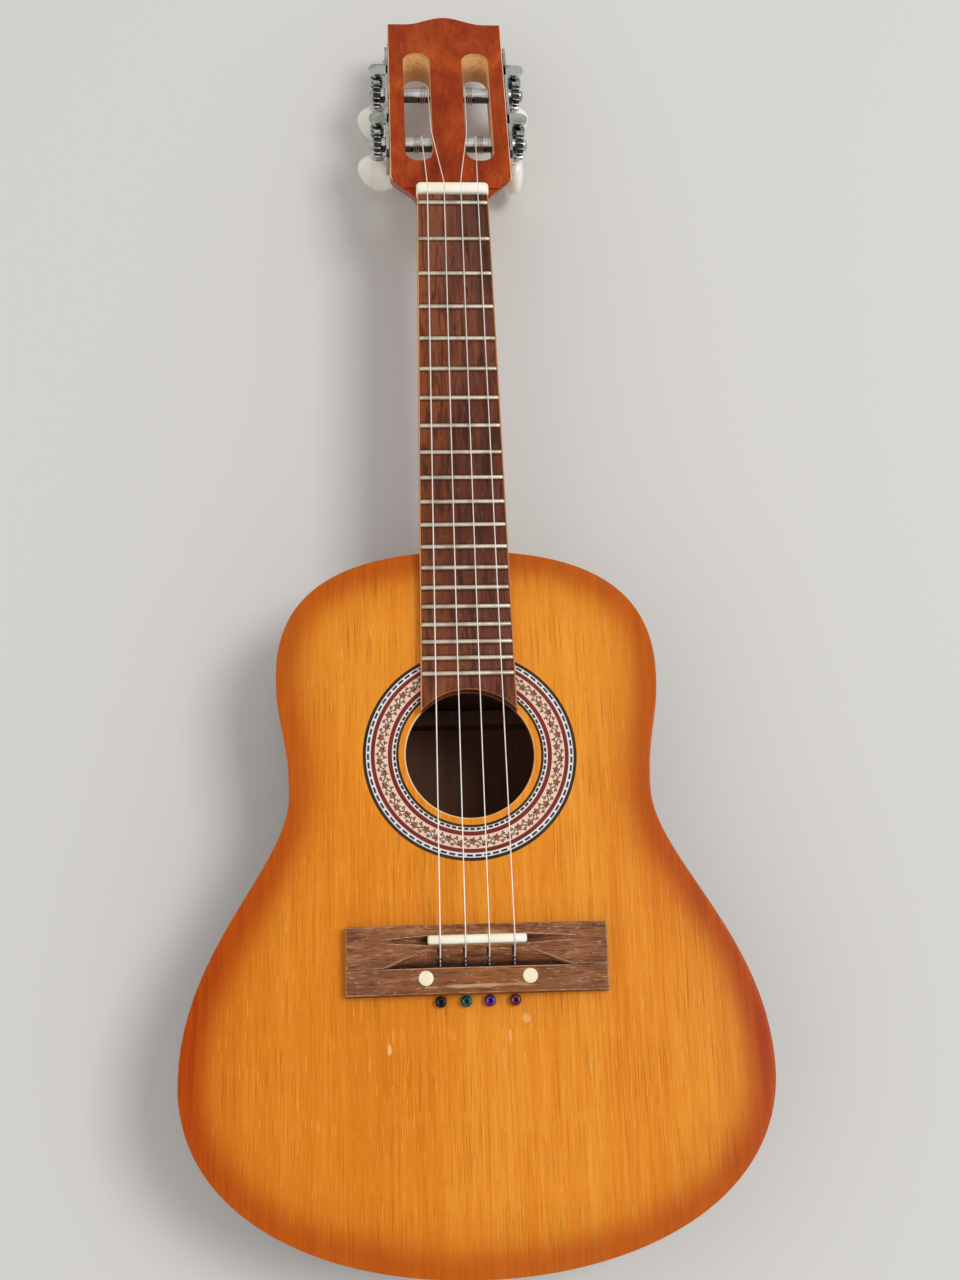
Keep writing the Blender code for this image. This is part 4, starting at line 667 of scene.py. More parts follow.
def paintRosette():
    # rings by radius in millimetres, with a scroll of flowers and a vine in the cream band
    p = Paint("inlaidRosette")
    x, y, unused = p.parts(p.space((1000, 1000, 1000), shift=(0, -holeY * 1000, 0)))
    radius = (x * x + y * y).maths("SQRT")
    turns = y.maths("ARCTAN2", x) / (2 * pi)
    black = tone(8, 8, 10)
    white = tone(226, 228, 232)
    maroon = tone(114, 14, 28)
    cream = tone(242, 208, 184)

    def band(low, high, soft=0.07):
        return radius.fade(low - soft, low + soft) * radius.fade(high + soft, high - soft)

    def stroke(distance, width, soft=0.09):
        return distance.size().fade(width + soft, width - soft)

    cells = rosetteRings["scrollCells"]
    middle = rosetteRings["scrollMiddle"]
    cellLength = 2 * pi * middle / cells
    count = turns * cells + 100.0
    index = count.maths("FLOOR")
    along = (count - index - 0.5) * cellLength
    odd = index.maths("MODULO", 2.0) * 2.0 - 1.0
    across = radius - middle
    side = across - odd * 0.55
    reach = (along * along + side * side).maths("SQRT")
    angle = side.maths("ARCTAN2", along)
    petals = (angle * 5.0).maths("COSINE")
    flower = reach - (1.12 + petals * 0.34)
    outline = stroke(flower, 0.25)
    heart = reach.fade(0.62, 0.42)
    ringLine = stroke(reach - 0.72, 0.13)
    vine = stroke(across - (count * pi).maths("SINE") * -1.15, 0.25)
    leafAlong = along.size() - cellLength * 0.36
    leafAcross = across + odd * 1.25
    leaf = (leafAlong * leafAlong + leafAcross * leafAcross * 2.2).maths("SQRT")
    leafLine = stroke(leaf - 0.54, 0.23)
    curl = leafAcross + 0.85 * odd
    dot = (leafAlong * leafAlong + curl * curl).maths("SQRT").fade(0.46, 0.3)
    bud = (along.size() - cellLength * 0.5).maths("POWER", 2.0) + (across - odd * 0.9).maths("POWER", 2.0)
    budLine = stroke(bud.maths("SQRT") - 0.46, 0.17)
    ink = outline.maths("MAXIMUM", vine).maths("MAXIMUM", leafLine).maths("MAXIMUM", dot)
    ink = ink.maths("MAXIMUM", ringLine).maths("MAXIMUM", budLine)
    red = heart.maths("MAXIMUM", (leaf - 0.2).fade(0.2, 0.0) * 0.8)
    smudge = p.noise(p.space((900, 900, 1)), detail=2.0)
    scroll = p.blend(flower.fade(0.1, -0.1) * 0.8, cream, tone(208, 126, 106))
    scroll = p.blend(leaf.fade(0.6, 0.45) * 0.5, scroll, tone(206, 128, 112))
    scroll = p.blend(red * 0.85, scroll, tone(150, 46, 46))
    scroll = p.blend(ink * (smudge * 0.5 + 0.68), scroll, tone(32, 18, 18))

    def dashes(number, low, high, phase, thick):
        count = turns * number + 200.0 + phase
        part = count - count.maths("FLOOR")
        slant = (part - 0.5).size().fade(0.4, 0.32)
        centre = (low + high) / 2
        half = (high - low) / 2
        return stroke(radius - centre, half * thick, 0.14) * slant

    colour = p.blend(band(34.5, 39.1), cream, scroll)
    colour = p.blend(band(28.0, 30.65), colour, black)
    colour = p.blend(band(30.8, 32.2), colour, white)
    colour = p.blend(dashes(rosetteRings["dashesInner"], 30.6, 32.1, 0.0, 0.62), colour, black)
    colour = p.blend(band(32.35, 34.1), colour, maroon)
    colour = p.blend(band(39.45, 41.1), colour, maroon)
    colour = p.blend(band(41.2, 43.05), colour, white)
    colour = p.blend(dashes(rosetteRings["dashesOuter"], 41.3, 43.1, 0.4, 0.48), colour, black)
    colour = p.blend(band(43.05, 46.0), colour, black)
    yellowed = p.noise(p.space((40, 40, 1)), detail=2.0)
    colour = p.blend(yellowed * 0.12, colour, tone(214, 160, 100))
    return p.set(colour=colour, rough=0.3 + smudge * 0.06, specular=0.1, coat=0.08, coatRough=0.1)


paints = {
    "soundboard": paintSoundboard(),
    "sides": paintCaseWood("lacqueredSides", True),
    "back": paintCaseWood("lacqueredBack", False),
    "neck": paintNeckWood(),
    "inner": paintInnerWood(),
    "inside": paintInsideCase(),
    "bridge": paintBridge(),
    "rosette": paintRosette(),
    "nut": paintBone("creamNut", tone(255, 252, 236), tone(248, 238, 208), 0.32),
    "dot": paintBone("creamDot", tone(252, 242, 214), tone(240, 222, 184), 0.38),
    "button": paintButton(),
    "fret": paintMetal("fretWire", tone(226, 212, 190), tone(142, 120, 96), 0.26, (900, 60, 300), 0.5),
    "string": paintMetal(
        "plainString", tone(250, 240, 232), tone(200, 190, 184), 0.3, (900, 900, 900), 0.3, 0.4,
    ),
    "wound": paintMetal("woundString", tone(190, 182, 176), tone(120, 114, 110), 0.24, (900, 900, 900), 0.35),
    "twist": paintMetal("darkWireAndGapShade", tone(74, 66, 72), tone(34, 28, 32), 0.34, (900, 900, 900), 0.6),
    "nickel": paintMetal("agedNickel", tone(206, 208, 200), tone(70, 74, 66), 0.1, (520, 520, 520), 0.5),
    "beadNavy": paintBead("navyBead", tone(10, 14, 26), tone(30, 44, 70)),
    "beadGreen": paintBead("greenBead", tone(6, 74, 66), tone(20, 130, 116)),
    "beadPurple": paintBead("purpleBead", tone(66, 24, 112), tone(110, 60, 160)),
    "beadPlum": paintBead("plumBead", tone(92, 24, 62), tone(150, 60, 90)),
}


def paintFretboardEdge():
    p = Paint("lacqueredBoardEdge")
    lines = p.noise(p.space((60, 14, 500)), detail=3.0)
    wood = p.ramp(lines, (0.35, tone(150, 74, 30)), (0.6, tone(206, 124, 60)))
    return p.set(colour=wood, rough=0.3 + lines * 0.1, coat=0.3, normal=p.bump(lines, 0.1, 0.06 * mm))


def paintBareEdge():
    p = Paint("bareSoundboardEdge")
    lines = p.noise(p.space((90, 90, 900)), detail=3.0)
    wood = p.ramp(lines, (0.35, tone(112, 66, 40)), (0.62, topFinish["bareEdge"]))
    return p.set(colour=wood, rough=0.55 + lines * 0.1, normal=p.bump(lines, 0.2, 0.06 * mm))


def paintRimHighlight():
    # a painted highlight along the head's rounded rim
    p = Paint("headRimHighlight")
    patch = p.noise(p.space((160, 160, 160)), detail=3.0)
    wood = p.ramp(patch, (0.34, tone(226, 140, 100)), (0.56, tone(254, 204, 176)))
    return p.set(colour=wood, rough=0.35 + patch * 0.1, normal=p.bump(patch, 0.1, 0.04 * mm))


paints["rubbedEdge"] = paintRimHighlight()
paints["boardEdge"] = paintFretboardEdge()
paints["bareEdge"] = paintBareEdge()
print("finishes mixed:", len(paints))

# body

bodyShape = {
    "upperBout": (80.4 * mm, 55 * mm),
    "waist": (74.7 * mm, 106 * mm),
    "lowerBout": (116.9 * mm, 217 * mm),
    "shoulderFlat": 68 * mm,
    "shoulderRound": 26 * mm,
    "waistLeadIn": 21 * mm,
    "waistUpperRound": 24 * mm,
    "waistLowerRound": 28.6 * mm,
    "hipLeadIn": 51 * mm,
    "hipRound": 48.3 * mm,
    "tailFlat": 63.3 * mm,
    "stepsPerSpan": (30, 14, 22, 34),
    "plateThickness": 2.5 * mm,
    "edgeRound": 0.9 * mm,
    "sideThickness": 2.0 * mm,
    "holeRadius": 26.6 * mm,
    "burstRings": (1.6, 3, 5, 8, 11, 14, 18, 23, 30),
}


def halfOutline():
    # (point, outward normal) pairs of the treble half, from the neck joint to the tail
    shape = bodyShape
    start = neckJointY
    upper = (shape["upperBout"][0], start - shape["upperBout"][1])
    waist = (shape["waist"][0], start - shape["waist"][1])
    lower = (shape["lowerBout"][0], start - shape["lowerBout"][1])
    spans = (
        ((0, start), (shape["shoulderFlat"], start), (upper[0], upper[1] + shape["shoulderRound"]), upper),
        (
            upper, (upper[0], upper[1] - shape["waistLeadIn"]),
            (waist[0], waist[1] + shape["waistUpperRound"]), waist,
        ),
        (
            waist, (waist[0], waist[1] - shape["waistLowerRound"]),
            (lower[0], lower[1] + shape["hipLeadIn"]), lower,
        ),
        (lower, (lower[0], lower[1] - shape["hipRound"]), (shape["tailFlat"], tailY), (0, tailY)),
    )
    rows = []
    for knots, steps in zip(spans, shape["stepsPerSpan"]):
        a, b, c, d = [Vector(knot) for knot in knots]
        for k in range(steps):
            t = k / steps
            point = (1 - t) ** 3 * a + 3 * (1 - t) ** 2 * t * b + 3 * (1 - t) * t * t * c + t ** 3 * d
            way = ((1 - t) ** 2 * (b - a) + 2 * (1 - t) * t * (c - b) + t * t * (d - c)).normalized()
            rows.append((point, Vector((-way.y, way.x))))
    rows.append((Vector((0, tailY)), Vector((0, -1))))
    return rows


outlineRows = halfOutline()


def bodyRing(inset, z):
    half = [(point - normal * inset) for point, normal in outlineRows]
    ring = [Vector((point.x, point.y, z)) for point in half]
    return ring + [Vector((-point.x, point.y, z)) for point in reversed(half[1:-1])]


def writeRim(piece):
    # distance from the outline in millimetres, for the burst, and how dark the burst is there
    edge = [point for point, normal in outlineRows]
    rim = piece.data.attributes.new("rim", "FLOAT", "POINT")
    depth = piece.data.attributes.new("depth", "FLOAT", "POINT")
    for index, vertex in enumerate(piece.data.vertices):
        spot = Vector((abs(vertex.co.x), vertex.co.y))
        rim.data[index].value = min((spot - point).length for point in edge) / mm
        along = (neckJointY - vertex.co.y) / mm
        rise = min(max((along - 100) / 100, 0), 1)
        fall = min(max((along - 215) / 75, 0), 1)
        depth.data[index].value = 0.84 + 0.22 * rise - 0.3 * fall


def makeSoundboard():
    shape = bodyShape
    under = topZ - shape["plateThickness"]
    edge = shape["edgeRound"]
    profile = [(2.0 * mm, under), (0.3 * mm, under), (0, under + 0.3 * mm)]
    profile += roundCorner((0, topZ - edge), (0, topZ), (edge, topZ), 5)
    profile += [(inset * mm, topZ) for inset in shape["burstRings"]]
    plate = skinRings("soundboardPlate", [bodyRing(inset, z) for inset, z in profile])
    radius = shape["holeRadius"]
    rows = [(radius + 0.25 * mm, under - 1 * mm), (radius + 0.25 * mm, under), (radius, under + 0.25 * mm)]
    rows += [(radius, topZ - 0.45 * mm), (radius + 0.12 * mm, topZ - 0.14 * mm), (radius + 0.45 * mm, topZ)]
    rows += [(radius + 0.6 * mm, topZ + 1 * mm)]
    hole = turned("holeCutter", rows, 128, at(0, holeY, 0))
    cutWith(plate, hole)
    writeRim(plate)
    finish(plate, paints["soundboard"], stands=("soundboard",), flats=True)
    plate.data.materials.append(paints["inside"])
    plate.data.materials.append(paints["bareEdge"])
    for face in plate.data.polygons:
        fromHole = math.hypot(face.center.x, face.center.y - holeY)
        if face.normal.z < -0.7:
            face.material_index = 1
        elif abs(face.normal.z) < 0.8 and fromHole < radius + 1 * mm:
            face.material_index = 2
    return plate


def makeBack():
    shape = bodyShape
    inner = backZ + shape["plateThickness"]
    edge = shape["edgeRound"]
    profile = [(inset * mm, backZ) for inset in reversed(shape["burstRings"])]
    profile += roundCorner((edge, backZ), (0, backZ), (0, backZ + edge), 5)
    profile += [(0, inner - 0.3 * mm), (0.3 * mm, inner), (2.0 * mm, inner)]
    plate = skinRings("backPlate", [bodyRing(inset, z) for inset, z in profile])
    writeRim(plate)
    finish(plate, paints["back"], stands=("back_plate",))
    plate.data.materials.append(paints["inside"])
    for face in plate.data.polygons:
        if face.normal.z > 0.7:
            face.material_index = 1
    return plate


def makeSides():
    shape = bodyShape
    low = backZ + shape["plateThickness"] + 0.05 * mm
    high = topZ - shape["plateThickness"] - 0.05 * mm
    small = 0.25 * mm
    wall = shape["sideThickness"]
    profile = [
        (small, low), (0, low + small), (0, low + 8 * mm), (0, high - 8 * mm), (0, high - small),
        (small, high),
        (wall, high), (wall, low), (small, low),
    ]
    for hand, sign in (("Treble", 1), ("Bass", -1)):
        rings = []
        for point, normal in outlineRows:
            ring = []
            for inset, z in profile[:-1]:
                place = point - normal * inset
                ring.append(Vector((sign * max(place.x, 0.08 * mm), place.y, z)))
            rings.append(ring)
        side = skinRings("bentSide" + hand, rings)
        rim = side.data.attributes.new("rim", "FLOAT", "POINT")
        for index, vertex in enumerate(side.data.vertices):
            rim.data[index].value = min(vertex.co.z - low, high - vertex.co.z) / mm
        finish(side, paints["sides"], stands=("rib_" + hand.lower(),))
        side.data.materials.append(paints["inside"])
        for face in side.data.polygons:
            centre = Vector((abs(face.center.x), face.center.y))
            nearest = min(outlineRows, key=lambda row: (row[0] - centre).length)
            if (nearest[0] - centre).dot(nearest[1]) > 0.6 * wall:
                face.material_index = 1


rosetteShape = {"inner": 29.6 * mm, "outer": 44.4 * mm, "proud": 0.05 * mm, "depth": 0.4 * mm}


def makeRosette():
    shape = rosetteShape
    low = topZ - shape["depth"]
    high = topZ + shape["proud"]
    rows = [
        (shape["inner"], low), (shape["inner"], topZ), (shape["inner"] + 0.1 * mm, high),
        (shape["outer"] - 0.1 * mm, high), (shape["outer"], topZ), (shape["outer"], low),
    ]
    ring = turned("rosetteRing", rows, 180, at(0, holeY, 0), hollow=True)
    return finish(ring, paints["rosette"], stands=("rosette",), flats=True)


makeSoundboard()
makeBack()
makeSides()
makeRosette()
print("body made")

# neck and head

neckShape = {
    "widthAtZeroFret": 33.3 * mm,
    "widthAtLastFret": 39.9 * mm,
    "lastFret": 19,
    "scaleLength": 340 * mm,
    "thickness": 14 * mm,
    "taper": 2 * mm,
    "heelLength": 46 * mm,
    "heelEndHeight": 1.5 * mm,
    "heelPinch": 0.42,
    "headTilt": math.radians(13),
    "headStart": 10.6 * mm,
    "headStep": 1.0 * mm,
    "headLength": 121.8 * mm,
    "headWidth": 57.2 * mm,
    "headThickness": 17 * mm,
    "crestHeight": 5.3 * mm,
    "crestHalfWidth": 20 * mm,
    "shoulder": 7.5 * mm,
    "root": 9 * mm,
    "carve": 15 * mm,
    "slotWidth": 13.3 * mm,
    "slotStart": 18.2 * mm,
    "slotEnd": 94.2 * mm,
    "slotCorner": 6.1 * mm,
    "centreRib": 15.7 * mm,
    "edgeRound": 0.85 * mm,
}
tilt = neckShape["headTilt"]
headOrigin = Vector((0, zeroY + neckShape["headStart"], topZ + neckShape["headStep"]))
headAlong = Vector((0, math.cos(tilt), -math.sin(tilt)))
headNormal = Vector((0, math.sin(tilt), math.cos(tilt)))


def headPlace(x, along, height):
    return headOrigin + Vector((x, 0, 0)) + headAlong * along + headNormal * height


def headFrame(x, along, height):
    # a frame in the head: X across, Y towards the crest, Z out of the front face
    return Matrix.Translation(headPlace(x, along, height)) @ Matrix.Rotation(-tilt, 4, "X")


def sideFrame(side, x, along, height):
    # the same, turned so that Z points out of the head's side
    return headFrame(side * x, along, height) @ Matrix.Rotation(side * pi / 2, 4, "Y")


def fretPlace(number):
    return neckShape["scaleLength"] * (1 - 2 ** (-number / 12))


def neckHalfWidth(along):
    growth = neckShape["widthAtLastFret"] - neckShape["widthAtZeroFret"]
    return (neckShape["widthAtZeroFret"] + growth * along / fretPlace(neckShape["lastFret"])) / 2


def neckRing(along, depth, pinch, steps=36):
    half = neckHalfWidth(along)
    ring = []
    for k in range(steps + 1):
        angle = pi * k / steps
        cosine, sine = math.cos(angle), max(math.sin(angle), 0.0)
        across = math.copysign(abs(cosine) ** 0.75, cosine)
        x = half * across * (1 - pinch * sine ** 1.5)
        ring.append(Vector((x, zeroY - along, topZ - depth * sine ** 0.85)))
    return ring


def headOutline(carve):
    shape = neckShape
    neckHalf = neckHalfWidth(-shape["headStart"])
    half = shape["headWidth"] / 2
    corner = shape["headLength"] - shape["crestHeight"]
    right = [(neckHalf - 0.3 * mm, carve - shape["root"] - 0.3 * mm)]
    for k in range(15):
        share = k / 14
        flare = neckHalf + ease(share) * (half - neckHalf)
        climb = carve - shape["root"] + share * (shape["shoulder"] + shape["root"])
        right.append((flare, climb))
    right.append((half, corner))
    crest = []
    for k in range(25):
        x = shape["crestHalfWidth"] * (1 - 2 * k / 24)
        rise = math.cos(pi * x / (2 * shape["crestHalfWidth"])) ** 2
        crest.append((x, corner + shape["crestHeight"] * rise))
    return right + crest + [(-x, y) for x, y in reversed(right)]


def roundedSlot(width, start, end, corner, steps=8):
    loop = []
    centres = (
        (width / 2 - corner, end - corner, 0), (corner - width / 2, end - corner, 1),
        (corner - width / 2, start + corner, 2), (width / 2 - corner, start + corner, 3),
    )
    for x, y, quarter in centres:
        for k in range(steps + 1):
            angle = pi / 2 * (quarter + k / steps)
            loop.append((x + corner * math.cos(angle), y + corner * math.sin(angle)))
    return loop


def box(name, low, high):
    clearSelection()
    bpy.ops.mesh.primitive_cube_add(size=1)
    block = bpy.context.object
    block.name = name
    for vertex in block.data.vertices:
        vertex.co = [b if c > 0 else a for a, b, c in zip(low, high, vertex.co)]
    return block


tunerShape = {
    "rollerDepth": 8.5 * mm,
    "lowerPlace": 38.3 * mm,
    "upperPlace": 73.3 * mm,
    "rollerRadius": 3.5 * mm,
    "journalRadius": 2.4 * mm,
    "ribSeat": 3.2 * mm,
}
tuners = (
    (1, "lowerPlace", 13.0 * mm), (1, "upperPlace", 9.1 * mm), (-1, "upperPlace", 9.1 * mm),
    (-1, "lowerPlace", 13.0 * mm),
)


def makeNeck():
    shape = neckShape
    joint = zeroY - neckJointY
    heelStart = joint - shape["heelLength"]
    rings = []
    for k in range(16):
        share = k / 16
        along = -shape["headStart"] + share * (heelStart + shape["headStart"])
        rings.append(neckRing(along, shape["thickness"] + share * shape["taper"], 0))
    shaftDepth = shape["thickness"] + shape["taper"]
    heelDepth = topZ - shape["heelEndHeight"]
    for k in range(27):
        share = math.sin(pi / 2 * k / 26)
        swell = share ** 3.2
        along = heelStart + share * (shape["heelLength"] - 0.1 * mm)
        depth = shaftDepth + swell * (heelDepth - shaftDepth)
        rings.append(neckRing(along, depth, shape["heelPinch"] * swell))
    neck = skinRings("neckAndHead", rings)
    thick, edge = shape["headThickness"], shape["edgeRound"]
    profile = roundCorner((edge, -thick), (0, -thick), (0, edge - thick))
    profile += roundCorner((0, -edge), (0, 0), (edge, 0))
    rings = []
    for inset, height in profile:
        loop = insetLoop(headOutline(shape["carve"] * -height / thick), inset)
        rings.append([headPlace(x, y, height) for x, y in loop])
    headBlank = skinRings("headBlank", rings)
    cutWith(neck, headBlank, "UNION")
    stepY = headOrigin.y
    cutWith(neck, box("nutSeat", (-0.06, stepY - 0.05, topZ), (0.06, stepY, topZ + 0.02)))
    slotMiddle = shape["centreRib"] / 2 + shape["slotWidth"] / 2
    for sign in (1, -1):
        loop = roundedSlot(shape["slotWidth"], shape["slotStart"], shape["slotEnd"], shape["slotCorner"])
        slot = skinRings(
            "slot", [[headPlace(sign * slotMiddle + x, y, h) for x, y in loop] for h in (-0.022, 0.005)],
        )
        cutWith(neck, slot)
    start = shape["centreRib"] / 2 - tunerShape["ribSeat"]
    for sign, place, unused in tuners:
        rollerFrame = sideFrame(sign, 0, tunerShape[place], -tunerShape["rollerDepth"])
        drill(neck, tunerShape["journalRadius"] + 0.2 * mm, start, 0.04, 28, rollerFrame)
    mergeClose(neck, 0.02 * mm)
    soften(neck, shape["edgeRound"], 3, 40)
    finish(neck, paints["neck"], stands=("neck",), smooth=30, flats=True)
    neck.data.materials.append(paints["slotWall"])
    neck.data.materials.append(paints["rubbedEdge"])
    inner, outer = shape["centreRib"] / 2, shape["centreRib"] / 2 + shape["slotWidth"]
    rimSide = shape["headWidth"] / 2 - 0.9 * mm
    rimEnd = shape["headLength"] - shape["crestHeight"] - 1 * mm
    for face in neck.data.polygons:
        away = face.center - headOrigin
        along, height = away.dot(headAlong), away.dot(headNormal)
        aside, facing = abs(away.x), face.normal.dot(headNormal)
        # the slots' walls are bare wood; the end by the nut keeps the dark stained finish as painted shade,
        # for the rollers' undersides to reflect
        inSlot = inner - 4 * mm < aside < outer + 0.4 * mm and height < -0.1 * mm
        inSlot = inSlot and shape["slotStart"] - 1 * mm < along < shape["slotEnd"] + 1 * mm
        lowerEnd = face.normal.dot(headAlong) > 0.5 and along < shape["slotStart"] + 8 * mm
        if inSlot and abs(facing) < 0.8 and not lowerEnd:
            face.material_index = 1
        # painted highlight: the rounded rim faces round the head take the pale rim finish
        onRim = aside > rimSide or along > rimEnd
        if onRim and 0 < along and -0.86 * mm < height < 0 and 0.1 < facing < 0.96:
            face.material_index = 2
    return neck


fretboardShape = {
    "thickness": 4.5 * mm,
    "pastZeroFret": 4.5 * mm,
    "soundholePlace": 260 * mm,
    "edgeRound": 0.35 * mm,
    "fretWidth": 2.05 * mm,
    "fretHeight": 1.0 * mm,
    "fretInset": 0.4 * mm,
}


paints["fretboard"] = paintFretboard()


def makeFretboard():
    shape = fretboardShape
    low, high = topZ + 0.02 * mm, boardZ + shape["thickness"]
    rings = []
    for k in range(9):
        along = -shape["pastZeroFret"] + k / 8 * (shape["soundholePlace"] + shape["pastZeroFret"])
        half = neckHalfWidth(along) - 0.05 * mm
        y = zeroY - along
        section = ((-half, low), (-half, high), (0, high), (half, high), (half, low))
        rings.append([Vector((x, y, z)) for x, z in section])
    board = skinRings("fretboardWood", rings)
    drill(board, bodyShape["holeRadius"], boardZ - 3 * mm, boardZ + 9 * mm, 128, at(0, holeY, 0))
    soften(board, shape["edgeRound"], 2, 40)
    finish(board, paints["fretboard"], stands=("fretboard",), flats=True)
    board.data.materials.append(paints["boardEdge"])
    for face in board.data.polygons:
        fromHole = math.hypot(face.center.x, face.center.y - holeY)
        atEnd = fromHole < bodyShape["holeRadius"] + 0.3 * mm and 0.2 < face.normal.z < 0.97
        if abs(face.normal.x) > 0.6 and fromHole > bodyShape["holeRadius"] + 1 * mm or atEnd:
            face.material_index = 1
    for number in range(neckShape["lastFret"] + 1):
        makeFret(number)


def makeFret(number):
    shape = fretboardShape
    y = zeroY - fretPlace(number)
    half = neckHalfWidth(fretPlace(number)) - shape["fretInset"]
    base = boardZ + shape["thickness"]
    rings = []
    ends = (0.0, 0.12, 0.3, 0.6, 0.95, 1.3)
    reaches = [-half + e * mm for e in ends] + [half - e * mm for e in reversed(ends)]
    for x in reaches:
        fromEnd = min(half - abs(x), 1.3 * mm) / (1.3 * mm)
        full = math.sqrt(max(1 - (1 - fromEnd) ** 2, 0.02))
        ring = []
        for k in range(13):
            angle = pi * k / 12
            ring.append(Vector((
                x, y - shape["fretWidth"] / 2 * (0.35 + 0.65 * full) * math.cos(angle),
                base - 0.05 * mm + (shape["fretHeight"] + 0.05 * mm) * full * math.sin(angle) ** 0.8,
            )))
        rings.append(ring)
    fret = skinRings("fret%02d" % number, rings)
    finish(fret, paints["fret"], smooth=50)


nutShape = {
    "width": 33.6 * mm, "length": 5.5 * mm, "height": 6.9 * mm, "endRound": 2.3 * mm, "spacing": 7.8 * mm,
}


def barRings(width, length, low, high, middleY, endRound, steps=12):
    # a bar across the strings with a rounded top and rounded ends
    rings = []
    half = width / 2
    spots = [endRound * (1 - math.cos(pi / 2 * k / 6)) for k in range(7)]
    reaches = [-half + s for s in spots] + [half - s for s in reversed(spots)]
    for x in reaches:
        fromEnd = min(half - abs(x), endRound) / endRound
        drop = endRound * (1 - math.sqrt(max(1 - (1 - fromEnd) ** 2, 0)))
        narrow = drop * 0.45
        thick = length / 2 - narrow
        ring = [Vector((x, middleY - thick, low))]
        for k in range(steps + 1):
            angle = pi * k / steps
            top = high - drop
            ring.append(Vector((
                x, middleY - thick * math.cos(angle),
                top - thick * 0.62 + thick * 0.62 * math.sin(angle),
            )))
        ring.append(Vector((x, middleY + thick, low)))
        rings.append(ring)
    return rings


def nutStringX(number):
    return (1.5, 0.5, -0.5, -1.5)[number - 1] * nutShape["spacing"]


def saddleStringX(number):
    return (14.7, 4.7, -4.7, -14.7)[number - 1] * mm


stringRadii = (0.24 * mm, 0.24 * mm, 0.25 * mm, 0.28 * mm)
fretTopZ = boardZ + fretboardShape["thickness"] + fretboardShape["fretHeight"]


def makeNut():
    shape = nutShape
    middle = (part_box("nut")[0].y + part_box("nut")[1].y) / 2
    low, high = topZ + 0.02 * mm, boardZ + shape["height"]
    rings = barRings(shape["width"], shape["length"], low, high, middle, shape["endRound"])
    nut = skinRings("nutBar", rings)
    for number in range(1, 5):
        x = nutStringX(number)
        floor = fretTopZ + 0.25 * mm
        rows = [(stringRadii[number - 1] + 0.14 * mm, -5 * mm), (stringRadii[number - 1] + 0.14 * mm, 5 * mm)]
        for lift in (0.0, 0.9 * mm):
            notch = turned("notch", rows, 12, at(x, middle, floor + lift) @ Matrix.Rotation(-pi / 2, 4, "X"))
            cutWith(nut, notch)
    return finish(nut, paints["nut"], stands=("nut",), smooth=40)


paints["slotWall"] = paintSlotWall()
makeNeck()
makeFretboard()
makeNut()
print("neck, frets and nut made")

# bridge

bridgeShape = {
    "width": 104 * mm,
    "length": 27 * mm,
    "height": 7.6 * mm,
    "tipHeight": 5.2 * mm,
    "flatHalf": 28 * mm,
    "edgeRound": 0.7 * mm,
    "saddleBehindFront": 6.2 * mm,
    "saddleHalf": 19.9 * mm,
    "slotHalf": 1.75 * mm,
    "slotDepth": 4.2 * mm,
    "runOut": (19 * mm, 22.5 * mm),
    "frontSlope": 4.2 * mm,
    "frontDrop": 1.3 * mm,
    "ridge": 4.0 * mm,
    "wall": 10.5 * mm,
    "valleyDepth": 4.2 * mm,
    "ridgeHalf": 21 * mm,
    "wallHalf": 39 * mm,
    "endSlope": 0.764,
    "blockHalf": 24.6 * mm,
    "blockSlant": 1.37,
    "wingDrop": 0.35 * mm,
    "rearSlope": 2.9 * mm,
    "rearDrop": 1.35 * mm,
    "columns": 312,
    "rows": 104,
}


def inNotch(number, x, fromSaddle, half):
    return abs(x - saddleStringX(number) + 0.6 * mm) < half and 3 * mm < fromSaddle < 7.5 * mm


def near(distance, reach):
    return max(1 - abs(distance) / (reach * mm), 0)


def rearWave(x):
    # how the top of the rear slope wanders
    return 0.5 * mm * noise.noise(Vector((x / (9 * mm), 1.7, 5.2)))


